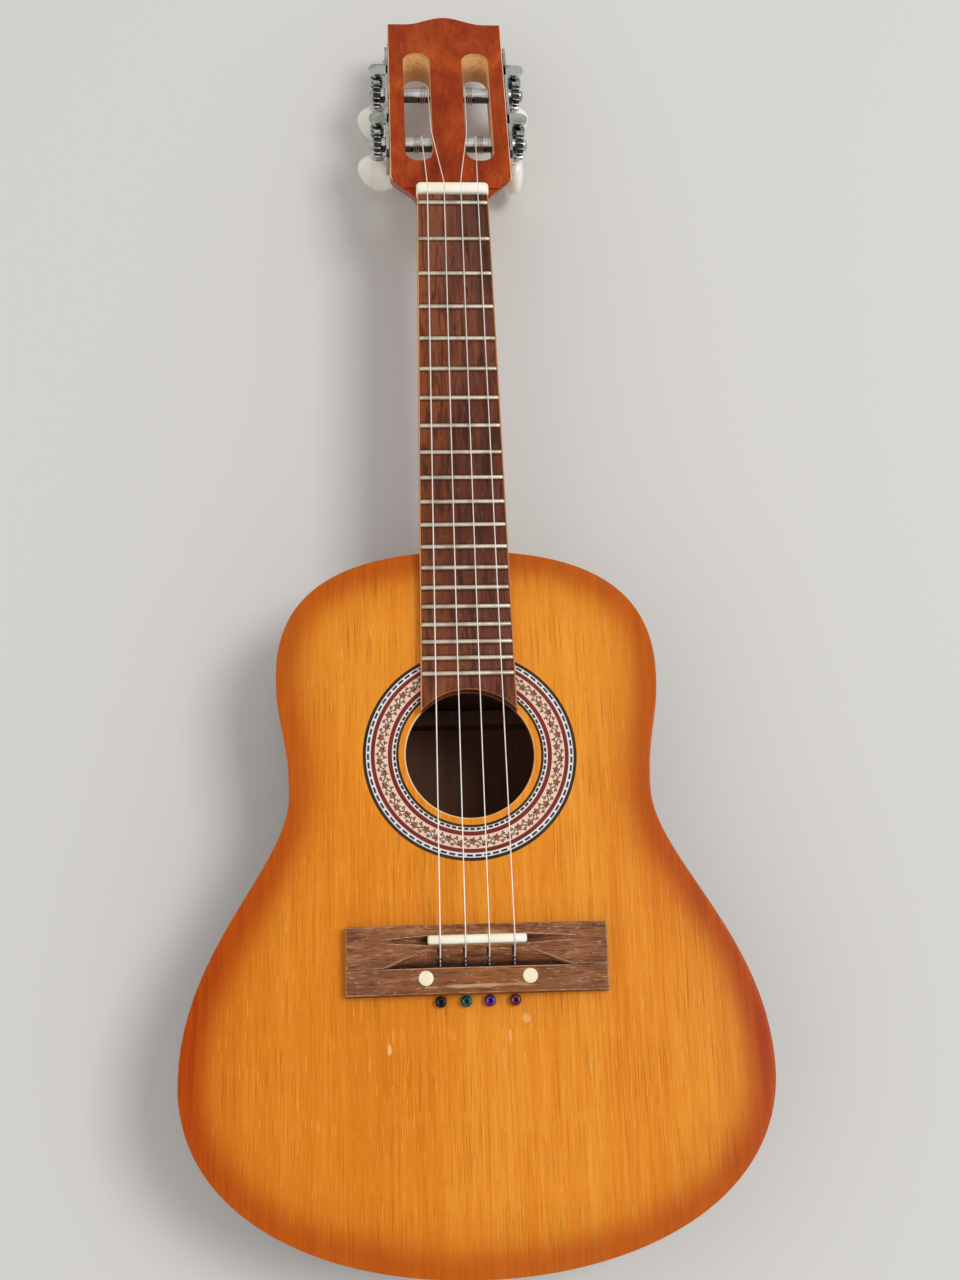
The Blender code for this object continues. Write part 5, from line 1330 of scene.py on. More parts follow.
def bridgeHeight(x, behind):
    # height above the soundboard of the carved block, at x across and behind its front edge
    shape = bridgeShape
    away = abs(x)
    fromSaddle = behind - shape["saddleBehindFront"]
    top = shape["height"]
    if away > shape["flatHalf"]:
        share = (away - shape["flatHalf"]) / (shape["width"] / 2 - shape["flatHalf"])
        top -= (shape["height"] - shape["tipHeight"]) * share
    top += 0.16 * mm * noise.noise(Vector((x / (9 * mm), behind / (4 * mm), 0.3))) - 0.2 * mm
    top += 0.08 * mm * noise.noise(Vector((x / (5 * mm), behind / (0.7 * mm), 4.7)))
    if fromSaddle > shape["wall"]:
        line = shape["blockHalf"] + (behind - 20.8 * mm) * shape["blockSlant"]
        top -= shape["wingDrop"] * ease((away - line) / (3.5 * mm))
        fromRear = 1 - (shape["length"] - behind + rearWave(x)) / shape["rearSlope"]
        top -= shape["rearDrop"] * max(fromRear, 0) * (1 - ease((away - 20 * mm) / (5 * mm)))
    if behind < shape["frontSlope"]:
        # the front edge is cut down between the wings
        reach = (22 if x < 0 else 24) * mm - behind * 1.6
        top -= shape["frontDrop"] * (1 - behind / shape["frontSlope"]) * (1 - ease((away - reach) / (3 * mm)))
    for number in range(1, 5):
        # the wires have worn notches into the ridge
        if inNotch(number, x, fromSaddle, 0.9 * mm):
            apart = abs(x - saddleStringX(number) + 0.6 * mm) / (0.9 * mm)
            top -= 0.9 * mm * (1 - apart ** 2) * ease((fromSaddle - 3 * mm) / (1.2 * mm))
    for line in (shape["ridge"], shape["wall"]):
        apart = abs(fromSaddle - line + 0.15 * mm * noise.noise(Vector((x / (12 * mm), line * 900, 2.2))))
        scored = max(1 - apart / (0.4 * mm), 0) * ease((away - 20 * mm) / (12 * mm))
        top -= 0.16 * mm * scored
    fromEdge = min(shape["width"] / 2 - away, behind, shape["length"] - behind)
    chipped = 1 + 0.5 * noise.noise(Vector((x / (5 * mm), behind / (5 * mm), 9.1)))
    reach = shape["edgeRound"] * chipped
    if fromEdge < reach:
        top -= reach - math.sqrt(max(reach ** 2 - (reach - fromEdge) ** 2, 0))
    if away < shape["saddleHalf"]:
        if abs(fromSaddle) < shape["slotHalf"]:
            return top - shape["slotDepth"]
    elif away < shape["saddleHalf"] + shape["runOut"][x > 0]:
        share = 1 - (away - shape["saddleHalf"]) / shape["runOut"][x > 0]
        narrow = shape["slotHalf"] * (0.25 + 0.75 * share)
        slope = 4.2 * mm * share
        if -slope < fromSaddle < 0:
            top -= 0.55 * mm * share * ease(1 + fromSaddle / slope)
        if abs(fromSaddle) < narrow:
            return top - 0.7 * shape["slotDepth"] * share * (1 - (abs(fromSaddle) / narrow) ** 6)
    if shape["ridge"] < fromSaddle < shape["wall"]:
        down = (fromSaddle - shape["ridge"]) / (shape["wall"] - shape["ridge"])
        end = shape["ridgeHalf"] + (shape["wallHalf"] - shape["ridgeHalf"]) * down
        depth = min(shape["valleyDepth"] * down ** 0.9, shape["endSlope"] * (end - away))
        top = min(top, shape["height"] - max(depth, 0) - 0.1 * mm) if depth > 0 else top
    return top


def wornAndLitEdges(x, behind):
    # how pale the worn edges of the carving are, 0 to 1; partly real wear and partly painted highlight,
    # strongest on the right-hand edge and none along the rear
    shape = bridgeShape
    away = abs(x)
    patch = 0.62 + 0.75 * noise.noise(Vector((x / (7 * mm), behind / (7 * mm), 3.9)))
    fromSaddle = behind - shape["saddleBehindFront"]
    if any(inNotch(number, x, fromSaddle, 1.5 * mm) for number in range(1, 5)):
        return 0.0
    lines = [
        (near(shape["width"] / 2 - x, 0.9), 1.25), (near(shape["width"] / 2 + x, 0.8), 0.8),
        (near(behind, 0.8), 0.7),
        (near(fromSaddle - shape["wall"] - 0.3 * mm, 0.6), 0.8 if x > 0 else 0.55),
    ]
    if away < 22 * mm:
        lines.append((near(fromSaddle - shape["ridge"], 0.7), 0.95))
    worn = max(strength * patch * share for share, strength in lines)
    fromBlock = shape["length"] - behind - shape["rearSlope"] + rearWave(x)
    blockLine = min(near(fromBlock, 1.2) * 1.3, 1) * (0.4 + 0.7 * patch)
    worn = max(worn, blockLine * (1 - ease((away - 20 * mm) / (3 * mm))))
    return min(worn, 1.0)


def makeBridge():
    shape = bridgeShape
    columns, rows = shape["columns"], shape["rows"]
    base = []
    for k in range(rows + 1):
        behind = k / rows * shape["length"]
        row = []
        for j in range(columns + 1):
            x = (j / columns - 0.5) * shape["width"]
            row.append(Vector((x, bridgeFrontY - behind, topZ + 0.02 * mm)))
        base.append(row)
    block = skinRings("bridgeBlock", base, around=False, ends=False)
    pick(block)
    bpy.ops.object.mode_set(mode="EDIT")
    bpy.ops.mesh.select_all(action="SELECT")
    bpy.ops.mesh.extrude_region_move(TRANSFORM_OT_translate={"value": (0, 0, 1 * mm)})
    bpy.ops.object.mode_set(mode="OBJECT")
    step = shape["width"] / columns * 1.4
    wearAndShading = []
    for vertex in block.data.vertices:
        wear = 0.0
        if vertex.co.z > bridgeBaseZ + 0.5 * mm:
            x, behind = vertex.co.x, bridgeFrontY - vertex.co.y
            height = bridgeHeight(x, behind)
            around = 0.0
            for dx, dy in ((step, 0), (-step, 0), (0, step), (0, -step)):
                sx = min(max(x + dx, -shape["width"] / 2), shape["width"] / 2)
                sy = min(max(behind + dy, 0), shape["length"])
                around += bridgeHeight(sx, sy)
            # convex places pale and hollows dark: partly wear, partly painted highlight and painted shade
            wear = max(min((height - around / 4) / (0.16 * mm), 0.75), -1.0)
            wear = max(wear, wornAndLitEdges(x, behind))
            # painted shadow of each string, just left of its notch
            fromSaddle = behind - shape["saddleBehindFront"]
            if any(inNotch(number, x, fromSaddle, 0.6 * mm) for number in range(1, 5)):
                wear = -0.75 * ease((7 * mm - fromSaddle) / (2.5 * mm))
            # painted shade down in the valley behind the ridge
            if height < 5.6 * mm and abs(x) < shape["wallHalf"]:
                wear = min(wear, (height - 5.4 * mm) / (2.4 * mm))
            vertex.co.z = bridgeBaseZ + height
        wearAndShading.append(wear)
    mark = block.data.attributes.new("wear", "FLOAT", "POINT")
    mark.data.foreach_set("value", wearAndShading)
    pick(block)
    bpy.ops.object.mode_set(mode="EDIT")
    bpy.ops.mesh.select_all(action="SELECT")
    bpy.ops.mesh.fill_holes(sides=0)
    bpy.ops.mesh.select_all(action="SELECT")
    bpy.ops.mesh.normals_make_consistent(inside=False)
    bpy.ops.object.mode_set(mode="OBJECT")
    for number in range(1, 5):
        front, rear = stringHoleEnds(number)
        beyond = (front - rear).normalized() * 0.6 * mm
        cutWith(block, rod("stringHole", rear - beyond, front + beyond, 0.85 * mm, 16))
    return finish(block, paints["bridge"], stands=("bridge",), smooth=45)


def rod(name, start, end, radius, steps):
    way = end - start
    place = Matrix.Translation(start) @ way.to_track_quat("Z", "Y").to_matrix().to_4x4()
    return turned(name, [(radius, 0), (radius, way.length)], steps, place)


def stringHoleEnds(number):
    shape = bridgeShape
    x = saddleStringX(number)
    wallY = saddleY - shape["wall"]
    return Vector((x, wallY, bridgeBaseZ + 4.7 * mm)), Vector((x, bridgeRearY, bridgeBaseZ + 2.8 * mm))


saddleShape = {
    "width": 39.2 * mm, "length": 3.4 * mm, "proud": 2.6 * mm, "seat": 3.9 * mm, "endRound": 1.1 * mm,
}


def makeSaddle():
    shape = saddleShape
    top = bridgeBaseZ + bridgeShape["height"] + shape["proud"]
    low = bridgeBaseZ + bridgeShape["height"] - shape["seat"]
    bar = skinRings(
        "saddleBar", barRings(shape["width"], shape["length"], low, top, saddleY, shape["endRound"], 10),
    )
    finish(bar, paints["nut"], stands=("saddle",), smooth=40)


dotShape = {
    "sunk": 1.2 * mm,
    "fromRear": 6.2 * mm,
    "aside": 20.5 * mm,
    "domeInMm": ((2.9, 0.02), (2.75, 0.12), (2.3, 0.2), (1.2, 0.24), (0.3, 0.25)),
}


def makeDots():
    shape = dotShape
    dotY = bridgeRearY + shape["fromRear"]
    top = bridgeBaseZ + bridgeShape["height"]
    for hand, sign in (("Treble", 1), ("Bass", -1)):
        rows = [(shape["domeInMm"][0][0] * mm, top - shape["sunk"])]
        for radius, rise in shape["domeInMm"]:
            rows.append((radius * mm, top + rise * mm))
        dot = turned("inlayDot" + hand, rows, 48, at(sign * shape["aside"], dotY, 0))
        finish(dot, paints["dot"], stands=("bridge_dot_" + hand.lower(),))


beadShape = {
    "colours": ("Plum", "Purple", "Green", "Navy"),
    "middleRadius": 1.35 * mm,
    "halfWall": 0.93 * mm,
    "boxiness": 0.6,
    "groove": 0.12 * mm,
    "grooveReach": 0.45 * mm,
}


def makeBeads():
    shape = beadShape
    for number, colour in enumerate(shape["colours"], start=1):
        low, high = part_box("string_bead_%d" % number)
        middle = (low + high) / 2
        half = (high.z - low.z) / 2
        rows = []
        for k in range(24):
            angle = 2 * pi * k / 24
            across = shape["middleRadius"] + shape["halfWall"] * math.cos(angle)
            up = half * (abs(math.sin(angle)) ** shape["boxiness"]) * (1 if math.sin(angle) >= 0 else -1)
            waist = 0
            if math.cos(angle) > 0:
                waist = shape["groove"] * math.exp(-(up / shape["grooveReach"]) ** 2)
            rows.append((across - waist, up))
        bead = turned("stringBead%d" % number, rows, 36, at(*middle), hollow=True)
        finish(
            bead, paints["bead" + colour],
            stands=("string_bead_%d" % number,), smooth=60,
        )


makeBridge()
makeSaddle()
makeDots()
makeBeads()
print("bridge made")

# strings

def easeCorners(points, reach, steps=5):
    # rounds each corner of a path, starting at most reach before it
    eased = [points[0]]
    for before, corner, after in zip(points, points[1:], points[2:]):
        near = min(reach, (corner - before).length * 0.45, (after - corner).length * 0.45)
        start = corner + (before - corner).normalized() * near
        end = corner + (after - corner).normalized() * near
        for k in range(steps + 1):
            t = k / steps
            eased.append((1 - t) ** 2 * start + 2 * (1 - t) * t * corner + t * t * end)
    return eased + [points[-1]]


stringShape = {
    "heightOverFret": 0.3 * mm,
    "twistRadius": 0.27 * mm,
    "twistLength": 4.8 * mm,
    "twistPitch": 1.5 * mm,
    "windingTurns": 3,
    "windingPitch": 1.0 * mm,
    "windingSteps": 40,
    "windingTail": 1.5 * mm,
}


def stringPath(number):
    side, place, atRoller = tuners[number - 1]
    radius = stringRadii[number - 1]
    reach = tunerShape["rollerRadius"] + 0.3 * mm + radius
    along = tunerShape[place]
    nutX, saddleX = nutStringX(number), saddleStringX(number)
    overFret = fretTopZ + stringShape["heightOverFret"] + radius
    overSaddle = bridgeBaseZ + bridgeShape["height"] + saddleShape["proud"] + 0.3 * mm + radius
    points = []
    for degrees in range(60, -1, -6):
        angle = math.radians(degrees)
        points.append(headPlace(
            side * atRoller, along + reach * math.sin(angle),
            -tunerShape["rollerDepth"] + reach * math.cos(angle),
        ))
    if abs(nutX) < neckShape["centreRib"] / 2:
        points.append(headPlace(side * (neckShape["centreRib"] / 2 + 0.4 * mm + radius), 37.5 * mm, 0.5 * mm))
    points.append(Vector((nutX, headOrigin.y, overFret - 0.3 * mm)))
    points.append(Vector((nutX, zeroY, overFret)))
    points.append(Vector((saddleX, saddleY, overSaddle)))
    points.append(Vector((saddleX, saddleY - 1.2 * mm, overSaddle - 0.3 * mm)))
    front, rear = stringHoleEnds(number)
    slope = (rear - front).normalized()
    points.append(front + Vector((0, 0, 0.25 * mm)) - slope * 0.3 * mm)
    points.append(front + slope * 1.5 * mm)
    points.append(rear - slope * 0.3 * mm)
    return points


def makeString(number):
    path = stringPath(number)
    line = wire("string%d" % number, easeCorners(path, 0.9 * mm), stringRadii[number - 1], 3)
    finish(line, paints["string"], stands=("string_%d" % number,), smooth=60)
    makeTwist(number, path)


def makeTwist(number, path):
    # the wire's end, twisted round it where it dips into the bridge
    shape = stringShape
    mouth, bend = path[-3], path[-4]
    way = (bend - mouth).normalized()
    acrossA = way.orthogonal().normalized()
    acrossB = way.cross(acrossA)
    reach = stringRadii[number - 1] + shape["twistRadius"] * 0.9
    start = mouth - way * 1.0 * mm
    count = int(shape["twistLength"] / shape["twistPitch"] * 14)
    points = []
    for k in range(count + 1):
        angle = 2 * pi * k / 14
        spread = reach * (1.35 - 0.5 * k / count)
        middle = start + way * shape["twistLength"] * k / count
        points.append(middle + acrossA * spread * math.cos(angle) + acrossB * spread * math.sin(angle))
    twist = wire("stringTwist%d" % number, points, shape["twistRadius"], 1)
    finish(twist, paints["twist"], smooth=60)


def makeWinding(number):
    # out of the roller's hole, round it in turns side by side, and off at a tangent
    shape = stringShape
    side, place, atRoller = tuners[number - 1]
    radius = stringRadii[number - 1]
    reach = tunerShape["rollerRadius"] + 0.3 * mm + radius
    end = atRoller + 2 * radius + 0.6 * mm
    start = end + shape["windingTurns"] * shape["windingPitch"]
    rows = [
        (start, reach - shape["windingTail"], 0.0), (start, reach - shape["windingTail"] + 2 * radius, 0.0),
    ]
    rows += [(start, reach - 0.35 * mm, 0.05), (start, reach - 0.06 * mm, 0.16)]
    for k in range(shape["windingTurns"] * shape["windingSteps"] + 1):
        turns = k / shape["windingSteps"]
        rows.append((start - shape["windingPitch"] * turns, reach, 0.3 + 2 * pi * turns))
    points = []
    for x, away, angle in rows:
        along = tunerShape[place] + away * math.cos(angle)
        points.append(headPlace(side * x, along, -tunerShape["rollerDepth"] - away * math.sin(angle)))
    points.append(points[-1] + (points[-1] - points[-2]).normalized() * 2 * radius)
    winding = wire("stringWinding%d" % number, points, radius, 2)
    finish(
        winding, paints["wound"], "roller_set_%d" % number, ("string_wrap_%d" % number,), 60,
    )


for number in range(1, 5):
    makeString(number)
    makeWinding(number)
print("strings made")

# machine heads

headShape = {
    "plateInner": 28.9 * mm,
    "plateThickness": 1.3 * mm,
    "plateStart": 24 * mm,
    "plateLength": 77 * mm,
    "plateInset": 0.6 * mm,
    "plateCorner": 3 * mm,
    "plateScrews": (28.2 * mm, 60.4 * mm, 96.8 * mm),
    "earWidth": 7.4 * mm,
    "earReach": 8.1 * mm,
    "earThickness": 1.3 * mm,
    "wormBeyondRoller": 9.4 * mm,
    "gearInner": 32.8 * mm,
    "gearWidth": 3.2 * mm,
    "gearTeeth": 16,
    "gearPitchRadius": 6.4 * mm,
    "gearRootRadius": 5.704 * mm,
    "toothHeight": 1.2 * mm,
    "wormPitchRadius": 3.0 * mm,
    "wormRootRadius": 2.2 * mm,
    "wormShaftRadius": 1.6 * mm,
    "wormTurns": 3,
    "screwHeadRadius": 3.05 * mm,
    "screwHeadHeight": 2.3 * mm,
    "collarRadius": 2.7 * mm,
    "collarThickness": 1.6 * mm,
    "buttonDepth": 25 * mm,
    "buttonLength": 20 * mm,
    "buttonWidth": 21 * mm,
    "buttonThickness": 8.8 * mm,
    "buttonTurns": (90, 28, 160, 158),
}
plateOuter = headShape["plateInner"] + headShape["plateThickness"]
rearEar = neckShape["headThickness"] - headShape["plateInset"]
wormSide = headShape["gearInner"] + headShape["gearWidth"] / 2
lead = 2 * pi * headShape["gearPitchRadius"] / headShape["gearTeeth"]


# the gap that each bent front ear leaves in its plate
earGap = {"inner": 28.2 * mm, "outer": 29.7 * mm, "half": 3.2 * mm, "low": -4 * mm, "high": 2 * mm}


def makePlate(side, hand):
    shape = headShape
    low, high = -rearEar, -shape["plateInset"]
    loop = roundedSlot(
        high - low, shape["plateStart"], shape["plateStart"] + shape["plateLength"], shape["plateCorner"],
    )
    middle = (low + high) / 2
    rings = []
    for x in (shape["plateInner"], plateOuter):
        rings.append([headPlace(side * x, along, middle + across) for across, along in loop])
    plate = skinRings("tunerPlate" + hand, rings)
    for place in ("lowerPlace", "upperPlace"):
        worm = tunerShape[place] + shape["wormBeyondRoller"]
        for front in (-shape["plateInset"] + 0.3 * mm, -rearEar + shape["earThickness"] - 0.3 * mm):
            half = shape["earWidth"] / 2
            root, tip = shape["plateInner"] + 0.6 * mm, plateOuter + shape["earReach"]
            loop = [(root, worm - half)]
            for k in range(25):
                angle = pi * (k / 24 - 0.5)
                loop.append((tip - half + half * math.cos(angle), worm + half * math.sin(angle)))
            loop.append((root, worm + half))
            rings = [
                [headPlace(side * x, y, h) for x, y in loop] for h in (front - shape["earThickness"], front)
            ]
            cutWith(plate, skinRings("ear", rings), "UNION")
        low, high = -rearEar - 2 * mm, -rearEar + 2 * mm
        wormFrame = headFrame(side * wormSide, worm, 0)
        rollerFrame = sideFrame(side, 0, tunerShape[place], -tunerShape["rollerDepth"])
        drill(plate, shape["wormShaftRadius"] + 0.15 * mm, low, high, 32, wormFrame)
        drill(plate, tunerShape["journalRadius"] + 0.2 * mm, 25 * mm, 33 * mm, 32, rollerFrame)
    mergeClose(plate)
    soften(plate, 0.28 * mm, 3, 40)
    for place in ("lowerPlace", "upperPlace"):
        worm = tunerShape[place] + shape["wormBeyondRoller"]
        inner, outer, half = earGap["inner"], earGap["outer"], earGap["half"]
        loop = [(inner, worm - half), (outer, worm - half), (outer, worm + half), (inner, worm + half)]
        rings = [[headPlace(side * x, y, h) for x, y in loop] for h in (earGap["low"], earGap["high"])]
        cutWith(plate, skinRings("earGap", rings))
    finish(plate, paints["nickel"], stands=("tuner_plate_" + hand.lower(),), flats=True)
    # painted shade: the faces in each ear's gap take the dark wire finish
    plate.data.materials.append(paints["twist"])
    for face in plate.data.polygons:
        height = (face.center - headOrigin).dot(headNormal)
        if shape["plateInner"] < abs(face.center.x) < 29.75 * mm and -4.1 * mm < height < -0.7 * mm:
            face.material_index = 1
    for count, along in enumerate(shape["plateScrews"]):
        makeScrewHead(
            "plateScrew%s%d" % (hand, count), side, plateOuter, along, -tunerShape["rollerDepth"], 1.9 * mm,
            0.95 * mm, 35 * count,
        )


def makeScrewHead(name, side, x, along, height, radius, rise, turnedBy):
    # a domed head with a slot across it, flat side against x
    rows = [(radius, 0.02 * mm), (radius, rise * 0.25)]
    for k in range(1, 7):
        angle = pi / 2 * k / 6.4
        rows.append((radius * (0.12 + 0.88 * math.cos(angle)), rise * (0.25 + 0.75 * math.sin(angle))))
    place = sideFrame(side, x, along, height)
    head = turned(name, rows, 40, place)
    slot = box("screwSlot", (-0.26 * mm, -radius * 1.1, rise * 0.62), (0.26 * mm, radius * 1.1, rise * 2))
    slot.matrix_world = place @ Matrix.Rotation(math.radians(turnedBy), 4, "Z")
    pick(slot)
    bpy.ops.object.transform_apply(location=True, rotation=True, scale=True)
    cutWith(head, slot)
    return finish(head, paints["nickel"])


def makeRoller(number):
    side, place, atRoller = tuners[number - 1]
    radius, journal = tunerShape["rollerRadius"], tunerShape["journalRadius"]
    inner = neckShape["centreRib"] / 2
    outer = inner + neckShape["slotWidth"]
    seat = inner - tunerShape["ribSeat"] + 0.3 * mm
    rows = [
        (journal - 0.25 * mm, seat), (journal, seat + 0.25 * mm), (journal, inner + 0.3 * mm),
        (radius - 0.2 * mm, inner + 0.3 * mm), (radius, inner + 0.5 * mm), (radius, inner + 1.5 * mm),
        (radius - 0.15 * mm, inner + 1.6 * mm), (radius - 0.15 * mm, inner + 1.75 * mm),
        (radius, inner + 1.85 * mm),
        (radius, outer - 1.85 * mm), (radius - 0.15 * mm, outer - 1.75 * mm),
        (radius - 0.15 * mm, outer - 1.6 * mm),
        (radius, outer - 1.5 * mm), (radius, outer - 0.5 * mm), (radius - 0.2 * mm, outer - 0.3 * mm),
        (journal, outer - 0.3 * mm), (journal, plateOuter + 0.3 * mm), (3.4 * mm, plateOuter + 0.3 * mm),
        (3.6 * mm, plateOuter + 0.5 * mm), (3.6 * mm, headShape["gearInner"] - 0.35 * mm),
        (3.5 * mm, headShape["gearInner"] - 0.1 * mm),
    ]
    along, depth = tunerShape[place], tunerShape["rollerDepth"]
    roller = turned("stringRoller%d" % number, rows, 48, sideFrame(side, 0, along, -depth))
    string = stringRadii[number - 1]
    holeX = side * (
        atRoller + 2 * string + 0.6 * mm + stringShape["windingTurns"] * stringShape["windingPitch"]
    )
    bore = 0.8 * mm + string
    reach = radius + 1 * mm
    holeFrame = headFrame(holeX, along, -depth) @ Matrix.Rotation(pi / 2, 4, "X")
    drill(roller, bore, -reach, reach, 20, holeFrame)
    if place not in paints:
        paints[place] = paintRoller(place + "Roller", place)
    finish(roller, paints[place], "roller_set_%d" % number, ("roller_%d" % number,), 30)


def makeGear(number):
    shape = headShape
    side, place, unused = tuners[number - 1]
    leadAngle = math.atan2(lead, 2 * pi * shape["wormPitchRadius"])
    twist = shape["gearWidth"] * math.tan(leadAngle) / shape["gearPitchRadius"]
    phase = (1.25 - shape["wormTurns"] / 2) * 2 * pi / shape["gearTeeth"]
    flank = ((0.7, 0.0), (0.52, 0.07), (0.41, 0.5), (0.3, 0.95), (0.21, 1.14), (0.1, 1.2))
    tooth = [(-across * mm, up * mm) for across, up in flank] + [
        (across * mm, up * mm) for across, up in reversed(flank)
    ]
    rows = []
    for share, sink in (
        (-0.5, 0.32), (-0.46, 0.1), (-0.4, 0.0), (0.0, 0.0), (0.4, 0.0), (0.46, 0.1), (0.5, 0.32),
    ):
        row = []
        for count in range(shape["gearTeeth"]):
            middle = phase + 2 * pi * count / shape["gearTeeth"] + share * twist
            for across, up in tooth:
                reach = shape["gearRootRadius"] + max(up - sink * mm, min(up, 0))
                row.append(
                    (share * shape["gearWidth"], reach, middle + across / (shape["gearRootRadius"] + up)),
                )
        rows.append(row)
    # the sunk faces and the bore, then the same back on the other face
    sunk = ((0.5, 5.3), (0.5, 4.9), (0.41, 4.6), (0.41, 1.45))
    for share, reach in sunk + tuple((-share, reach) for share, reach in reversed(sunk)):
        rows.append([(share * shape["gearWidth"], reach * mm, spot[2]) for spot in rows[0]])
    rows.append(rows[0])
    rings = []
    for row in rows:
        ring = []
        for x, reach, angle in row:
            along = tunerShape[place] + reach * math.cos(angle)
            height = -tunerShape["rollerDepth"] + reach * math.sin(angle)
            ring.append(headPlace(side * wormSide + x, along, height))
        rings.append(ring)
    gear = skinRings("wormGear%d" % number, rings, ends=False)
    # grime and painted shade down between the teeth and on the sunk faces
    grime = gear.data.attributes.new("grime", "FLOAT", "POINT")
    for vertex in gear.data.vertices:
        away = vertex.co - headPlace(0, tunerShape[place], -tunerShape["rollerDepth"])
        reach = math.hypot(away.dot(headAlong), away.dot(headNormal))
        low = (shape["gearRootRadius"] + 0.9 * mm - reach) / (0.9 * mm)
        grime.data[vertex.index].value = ease(low) if reach > shape["gearRootRadius"] - 0.2 * mm else 0.25
    finish(gear, paints["nickel"], "roller_set_%d" % number, ("gear_%d" % number,), 40)
    outer = shape["gearInner"] + shape["gearWidth"]
    head = makeScrewHead(
        "gearScrew%d" % number, side, outer, tunerShape[place], -tunerShape["rollerDepth"],
        shape["screwHeadRadius"], shape["screwHeadHeight"], 40 * number,
    )
    body = "roller_set_%d" % number
    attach(head, body)
    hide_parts("gear_screw_%d" % number)


def threadRise(height, angle):
    # how far the thread stands above the worm's root, at a height along the shaft
    shape = headShape
    start = -shape["wormTurns"] * lead / 2
    turns = (height - start) / lead - angle / (2 * pi)
    if turns < -0.25 or turns > shape["wormTurns"] + 0.25:
        return 0.0
    away = abs(turns - round(turns)) * lead
    nearest = round(turns) + angle / (2 * pi)
    if nearest < 0 or nearest > shape["wormTurns"]:
        return 0.0
    fade = min(1.0, nearest / 0.25, (shape["wormTurns"] - nearest) / 0.25)
    slope = min(max((0.53 * mm - away) / (0.28 * mm), 0.0), 1.0)
    slope = slope * slope * (3 - 2 * slope)
    return shape["toothHeight"] * slope * fade


def makeWorm(number):
    shape = headShape
    side, place, unused = tuners[number - 1]
    depth = tunerShape["rollerDepth"]
    front = depth - shape["plateInset"] - shape["earThickness"] - 0.3 * mm
    rear = depth - rearEar - 0.3 * mm
    button = depth - shape["buttonDepth"]
    threaded = shape["wormTurns"] * lead / 2 + 1.05 * mm
    shaft, root, collar = shape["wormShaftRadius"], shape["wormRootRadius"], shape["collarRadius"]
    thick = shape["collarThickness"]
    rows = [
        (1.28 * mm, button - 9 * mm), (1.28 * mm, button + 0.1 * mm), (2.2 * mm, button + 0.1 * mm),
        (collar - 0.1 * mm, button + 0.35 * mm), (collar, button + 0.6 * mm),
        (collar, button + 0.2 * mm + thick * 0.7),
        (collar - 0.35 * mm, button + 0.3 * mm + thick), (shaft + 0.2 * mm, button + 0.45 * mm + thick),
        (shaft, button + 0.9 * mm + thick), (shaft, rear + 0.6 * mm + shape["earThickness"]),
        (root, rear + 0.62 * mm + shape["earThickness"]),
    ]
    steps = 40
    rings = []

    def ring(radius, height, rises=False):
        spots = []
        for k in range(steps):
            angle = 2 * pi * k / steps
            reach = radius + threadRise(height, angle) if rises else radius
            spots.append((reach * math.cos(angle), reach * math.sin(angle), height))
        rings.append(spots)

    for radius, height in rows:
        ring(radius, height)
    count = 84
    for k in range(count + 1):
        ring(root, -threaded + 2 * threaded * k / count, rises=True)
    for radius, height in ((root, front - 1.2 * mm), (shaft, front - 0.8 * mm), (shaft, front)):
        ring(radius, height)
    frameHere = headFrame(side * wormSide, tunerShape[place] + shape["wormBeyondRoller"], -depth)
    rings = [[frameHere @ Vector(spot) for spot in spots] for spots in rings]
    worm = skinRings("worm%d" % number, rings)
    # grime and painted shade down between the thread's turns
    grime = worm.data.attributes.new("grime", "FLOAT", "POINT")
    toShaft = frameHere.inverted()
    for vertex in worm.data.vertices:
        spot = toShaft @ vertex.co
        low = (root + shape["toothHeight"] * 0.8 - math.hypot(spot.x, spot.y)) / (shape["toothHeight"] * 0.8)
        grime.data[vertex.index].value = ease(low) if abs(spot.z) < threaded - 0.3 * mm else 0.0
    finish(worm, paints["nickel"], "knob_%d" % number, ("worm_%d" % number,), 40)


def makeButton(number):
    shape = headShape
    side, place, unused = tuners[number - 1]
    turnBy = math.radians(shape["buttonTurns"][number - 1])
    place = headFrame(side * wormSide, tunerShape[place] + shape["wormBeyondRoller"], -shape["buttonDepth"])
    place = place @ Matrix.Rotation(turnBy, 4, "Z")
    rings = []
    for k in range(33):
        share = 0.5 - 0.5 * math.cos(pi * k / 32)
        fullness = math.sqrt(max(1 - (2 * share - 1) ** 2, 0))
        stem = 0.42 * (1 - min(share / 0.16, 1)) ** 0.5 if share < 0.16 else 0
        fullness = max(fullness, stem)
        halfWidth = shape["buttonWidth"] / 2 * max(fullness, 0.03)
        halfThick = shape["buttonThickness"] / 2 * (0.4 + 0.6 * fullness) * (1 if k < 32 else 0.3)
        if k > 28:
            halfThick *= math.sqrt(max(1 - ((k - 28) / 4.2) ** 2, 0.01))
        ring = []
        for j in range(44):
            angle = 2 * pi * j / 44
            cosine, sine = math.cos(angle), math.sin(angle)
            x = halfWidth * math.copysign(abs(cosine) ** 0.94, cosine)
            y = halfThick * math.copysign(abs(sine) ** 0.94, sine)
            ring.append(place @ Vector((x, y, -share * shape["buttonLength"])))
        rings.append(ring)
    button = skinRings("button%d" % number, rings)
    finish(button, paints["button"], "knob_%d" % number, ("button_%d" % number,), 60)


for side, hand in ((1, "Treble"), (-1, "Bass")):
    makePlate(side, hand)
for number in range(1, 5):
    makeRoller(number)
    makeGear(number)
    makeWorm(number)
    makeButton(number)
print("machine heads made")

# the wood inside the body keeps the frame's own shapes
for name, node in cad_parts.items():
    if name.startswith("lining") or name.endswith("block") or "brace" in name or name == "bridge_patch":
        # the back braces take the darker case-inside finish, as painted shade seen through the soundhole
        for slot in node.material_slots:
            slot.material = paints["inside"] if name.startswith("back_brace") else paints["inner"]

# floor, light and camera

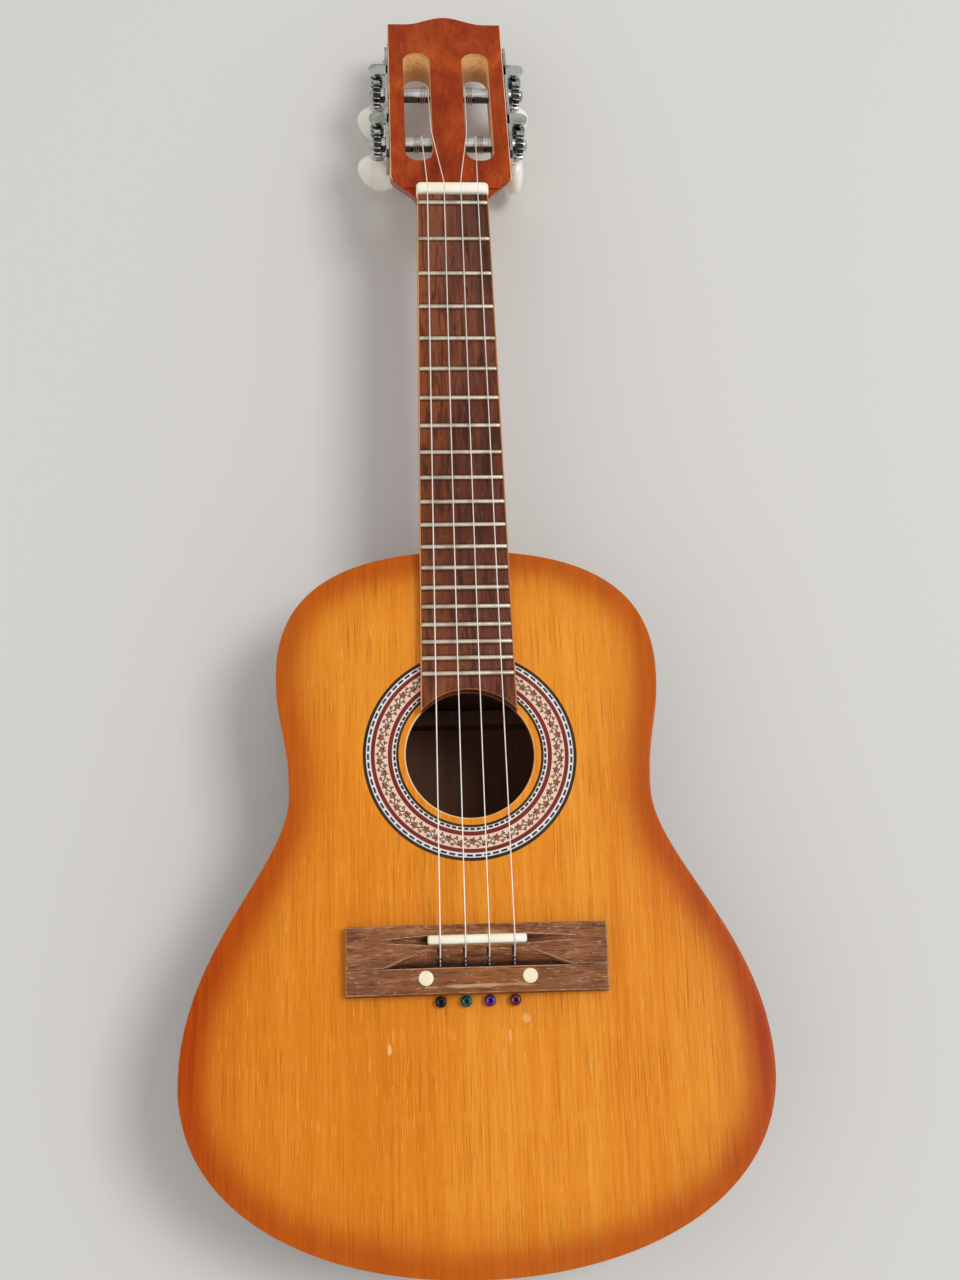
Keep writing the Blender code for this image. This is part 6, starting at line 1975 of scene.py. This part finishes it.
studio = {
    "floorColour": tone(219, 217, 212),
    "worldLight": 0.58,
    "keyPower": 32.0,
    "keyPlace": (1.3, 0.1, 2.6),
    "keySize": 1.0,
    "fillPower": 2.0,
    "fillPlace": (-0.9, -0.5, 1.2),
    "fillSize": 1.2,
    "cameraPlace": (-0.0356, -0.2327, 0.6689),
    "cameraWay": (0.065, 0.296, -0.953),
    "cameraUp": (0.015, 0.955, 0.298),
    "focalPixels": 1500,
    "imageHeight": 1280,
}


def makeFloor():
    clearSelection()
    bpy.ops.mesh.primitive_plane_add(size=12, location=(0, 0, 0))
    floor = bpy.context.object
    floor.name = "paleFloor"
    bpy.ops.object.mode_set(mode="EDIT")
    bpy.ops.mesh.select_all(action="SELECT")
    bpy.ops.mesh.subdivide(number_cuts=3)
    bpy.ops.transform.translate(value=(0, 0, -0.1 * mm))
    bpy.ops.object.mode_set(mode="OBJECT")
    p = Paint("paleFloor")
    cloud = p.noise(p.space((3, 3, 3)), detail=2.0)
    colour = p.blend(cloud * 0.12, studio["floorColour"], tone(210, 209, 208))
    floor.data.materials.append(p.set(colour=colour, rough=0.85))


def makeLight(name, place, size, power):
    clearSelection()
    bpy.ops.object.light_add(type="AREA", location=place)
    lamp = bpy.context.object
    lamp.name = name
    lamp.data.size = size
    lamp.data.energy = power
    aim = Vector((0, -0.03, 0.04)) - Vector(place)
    lamp.rotation_euler = aim.to_track_quat("-Z", "Y").to_euler()


def makeCamera():
    clearSelection()
    bpy.ops.object.camera_add(location=studio["cameraPlace"])
    camera = bpy.context.object
    back = -Vector(studio["cameraWay"]).normalized()
    right = Vector(studio["cameraUp"]).cross(back).normalized()
    up = back.cross(right)
    turn = Matrix((right, up, back)).transposed().to_4x4()
    camera.matrix_world = Matrix.Translation(studio["cameraPlace"]) @ turn
    camera.data.sensor_width = 36
    camera.data.lens = 36 * studio["focalPixels"] / studio["imageHeight"]
    camera.data.clip_start = 0.01
    bpy.context.scene.camera = camera


makeFloor()
makeLight("keyLight", studio["keyPlace"], studio["keySize"], studio["keyPower"])
makeLight("fillLight", studio["fillPlace"], studio["fillSize"], studio["fillPower"])
makeCamera()
world = bpy.data.worlds.new("studioAir")
world.use_nodes = True
world.node_tree.nodes["Background"].inputs["Color"].default_value = (1, 1, 1, 1)
world.node_tree.nodes["Background"].inputs["Strength"].default_value = studio["worldLight"]
bpy.context.scene.world = world
bpy.context.scene.view_settings.view_transform = "Standard"
print("studio made")
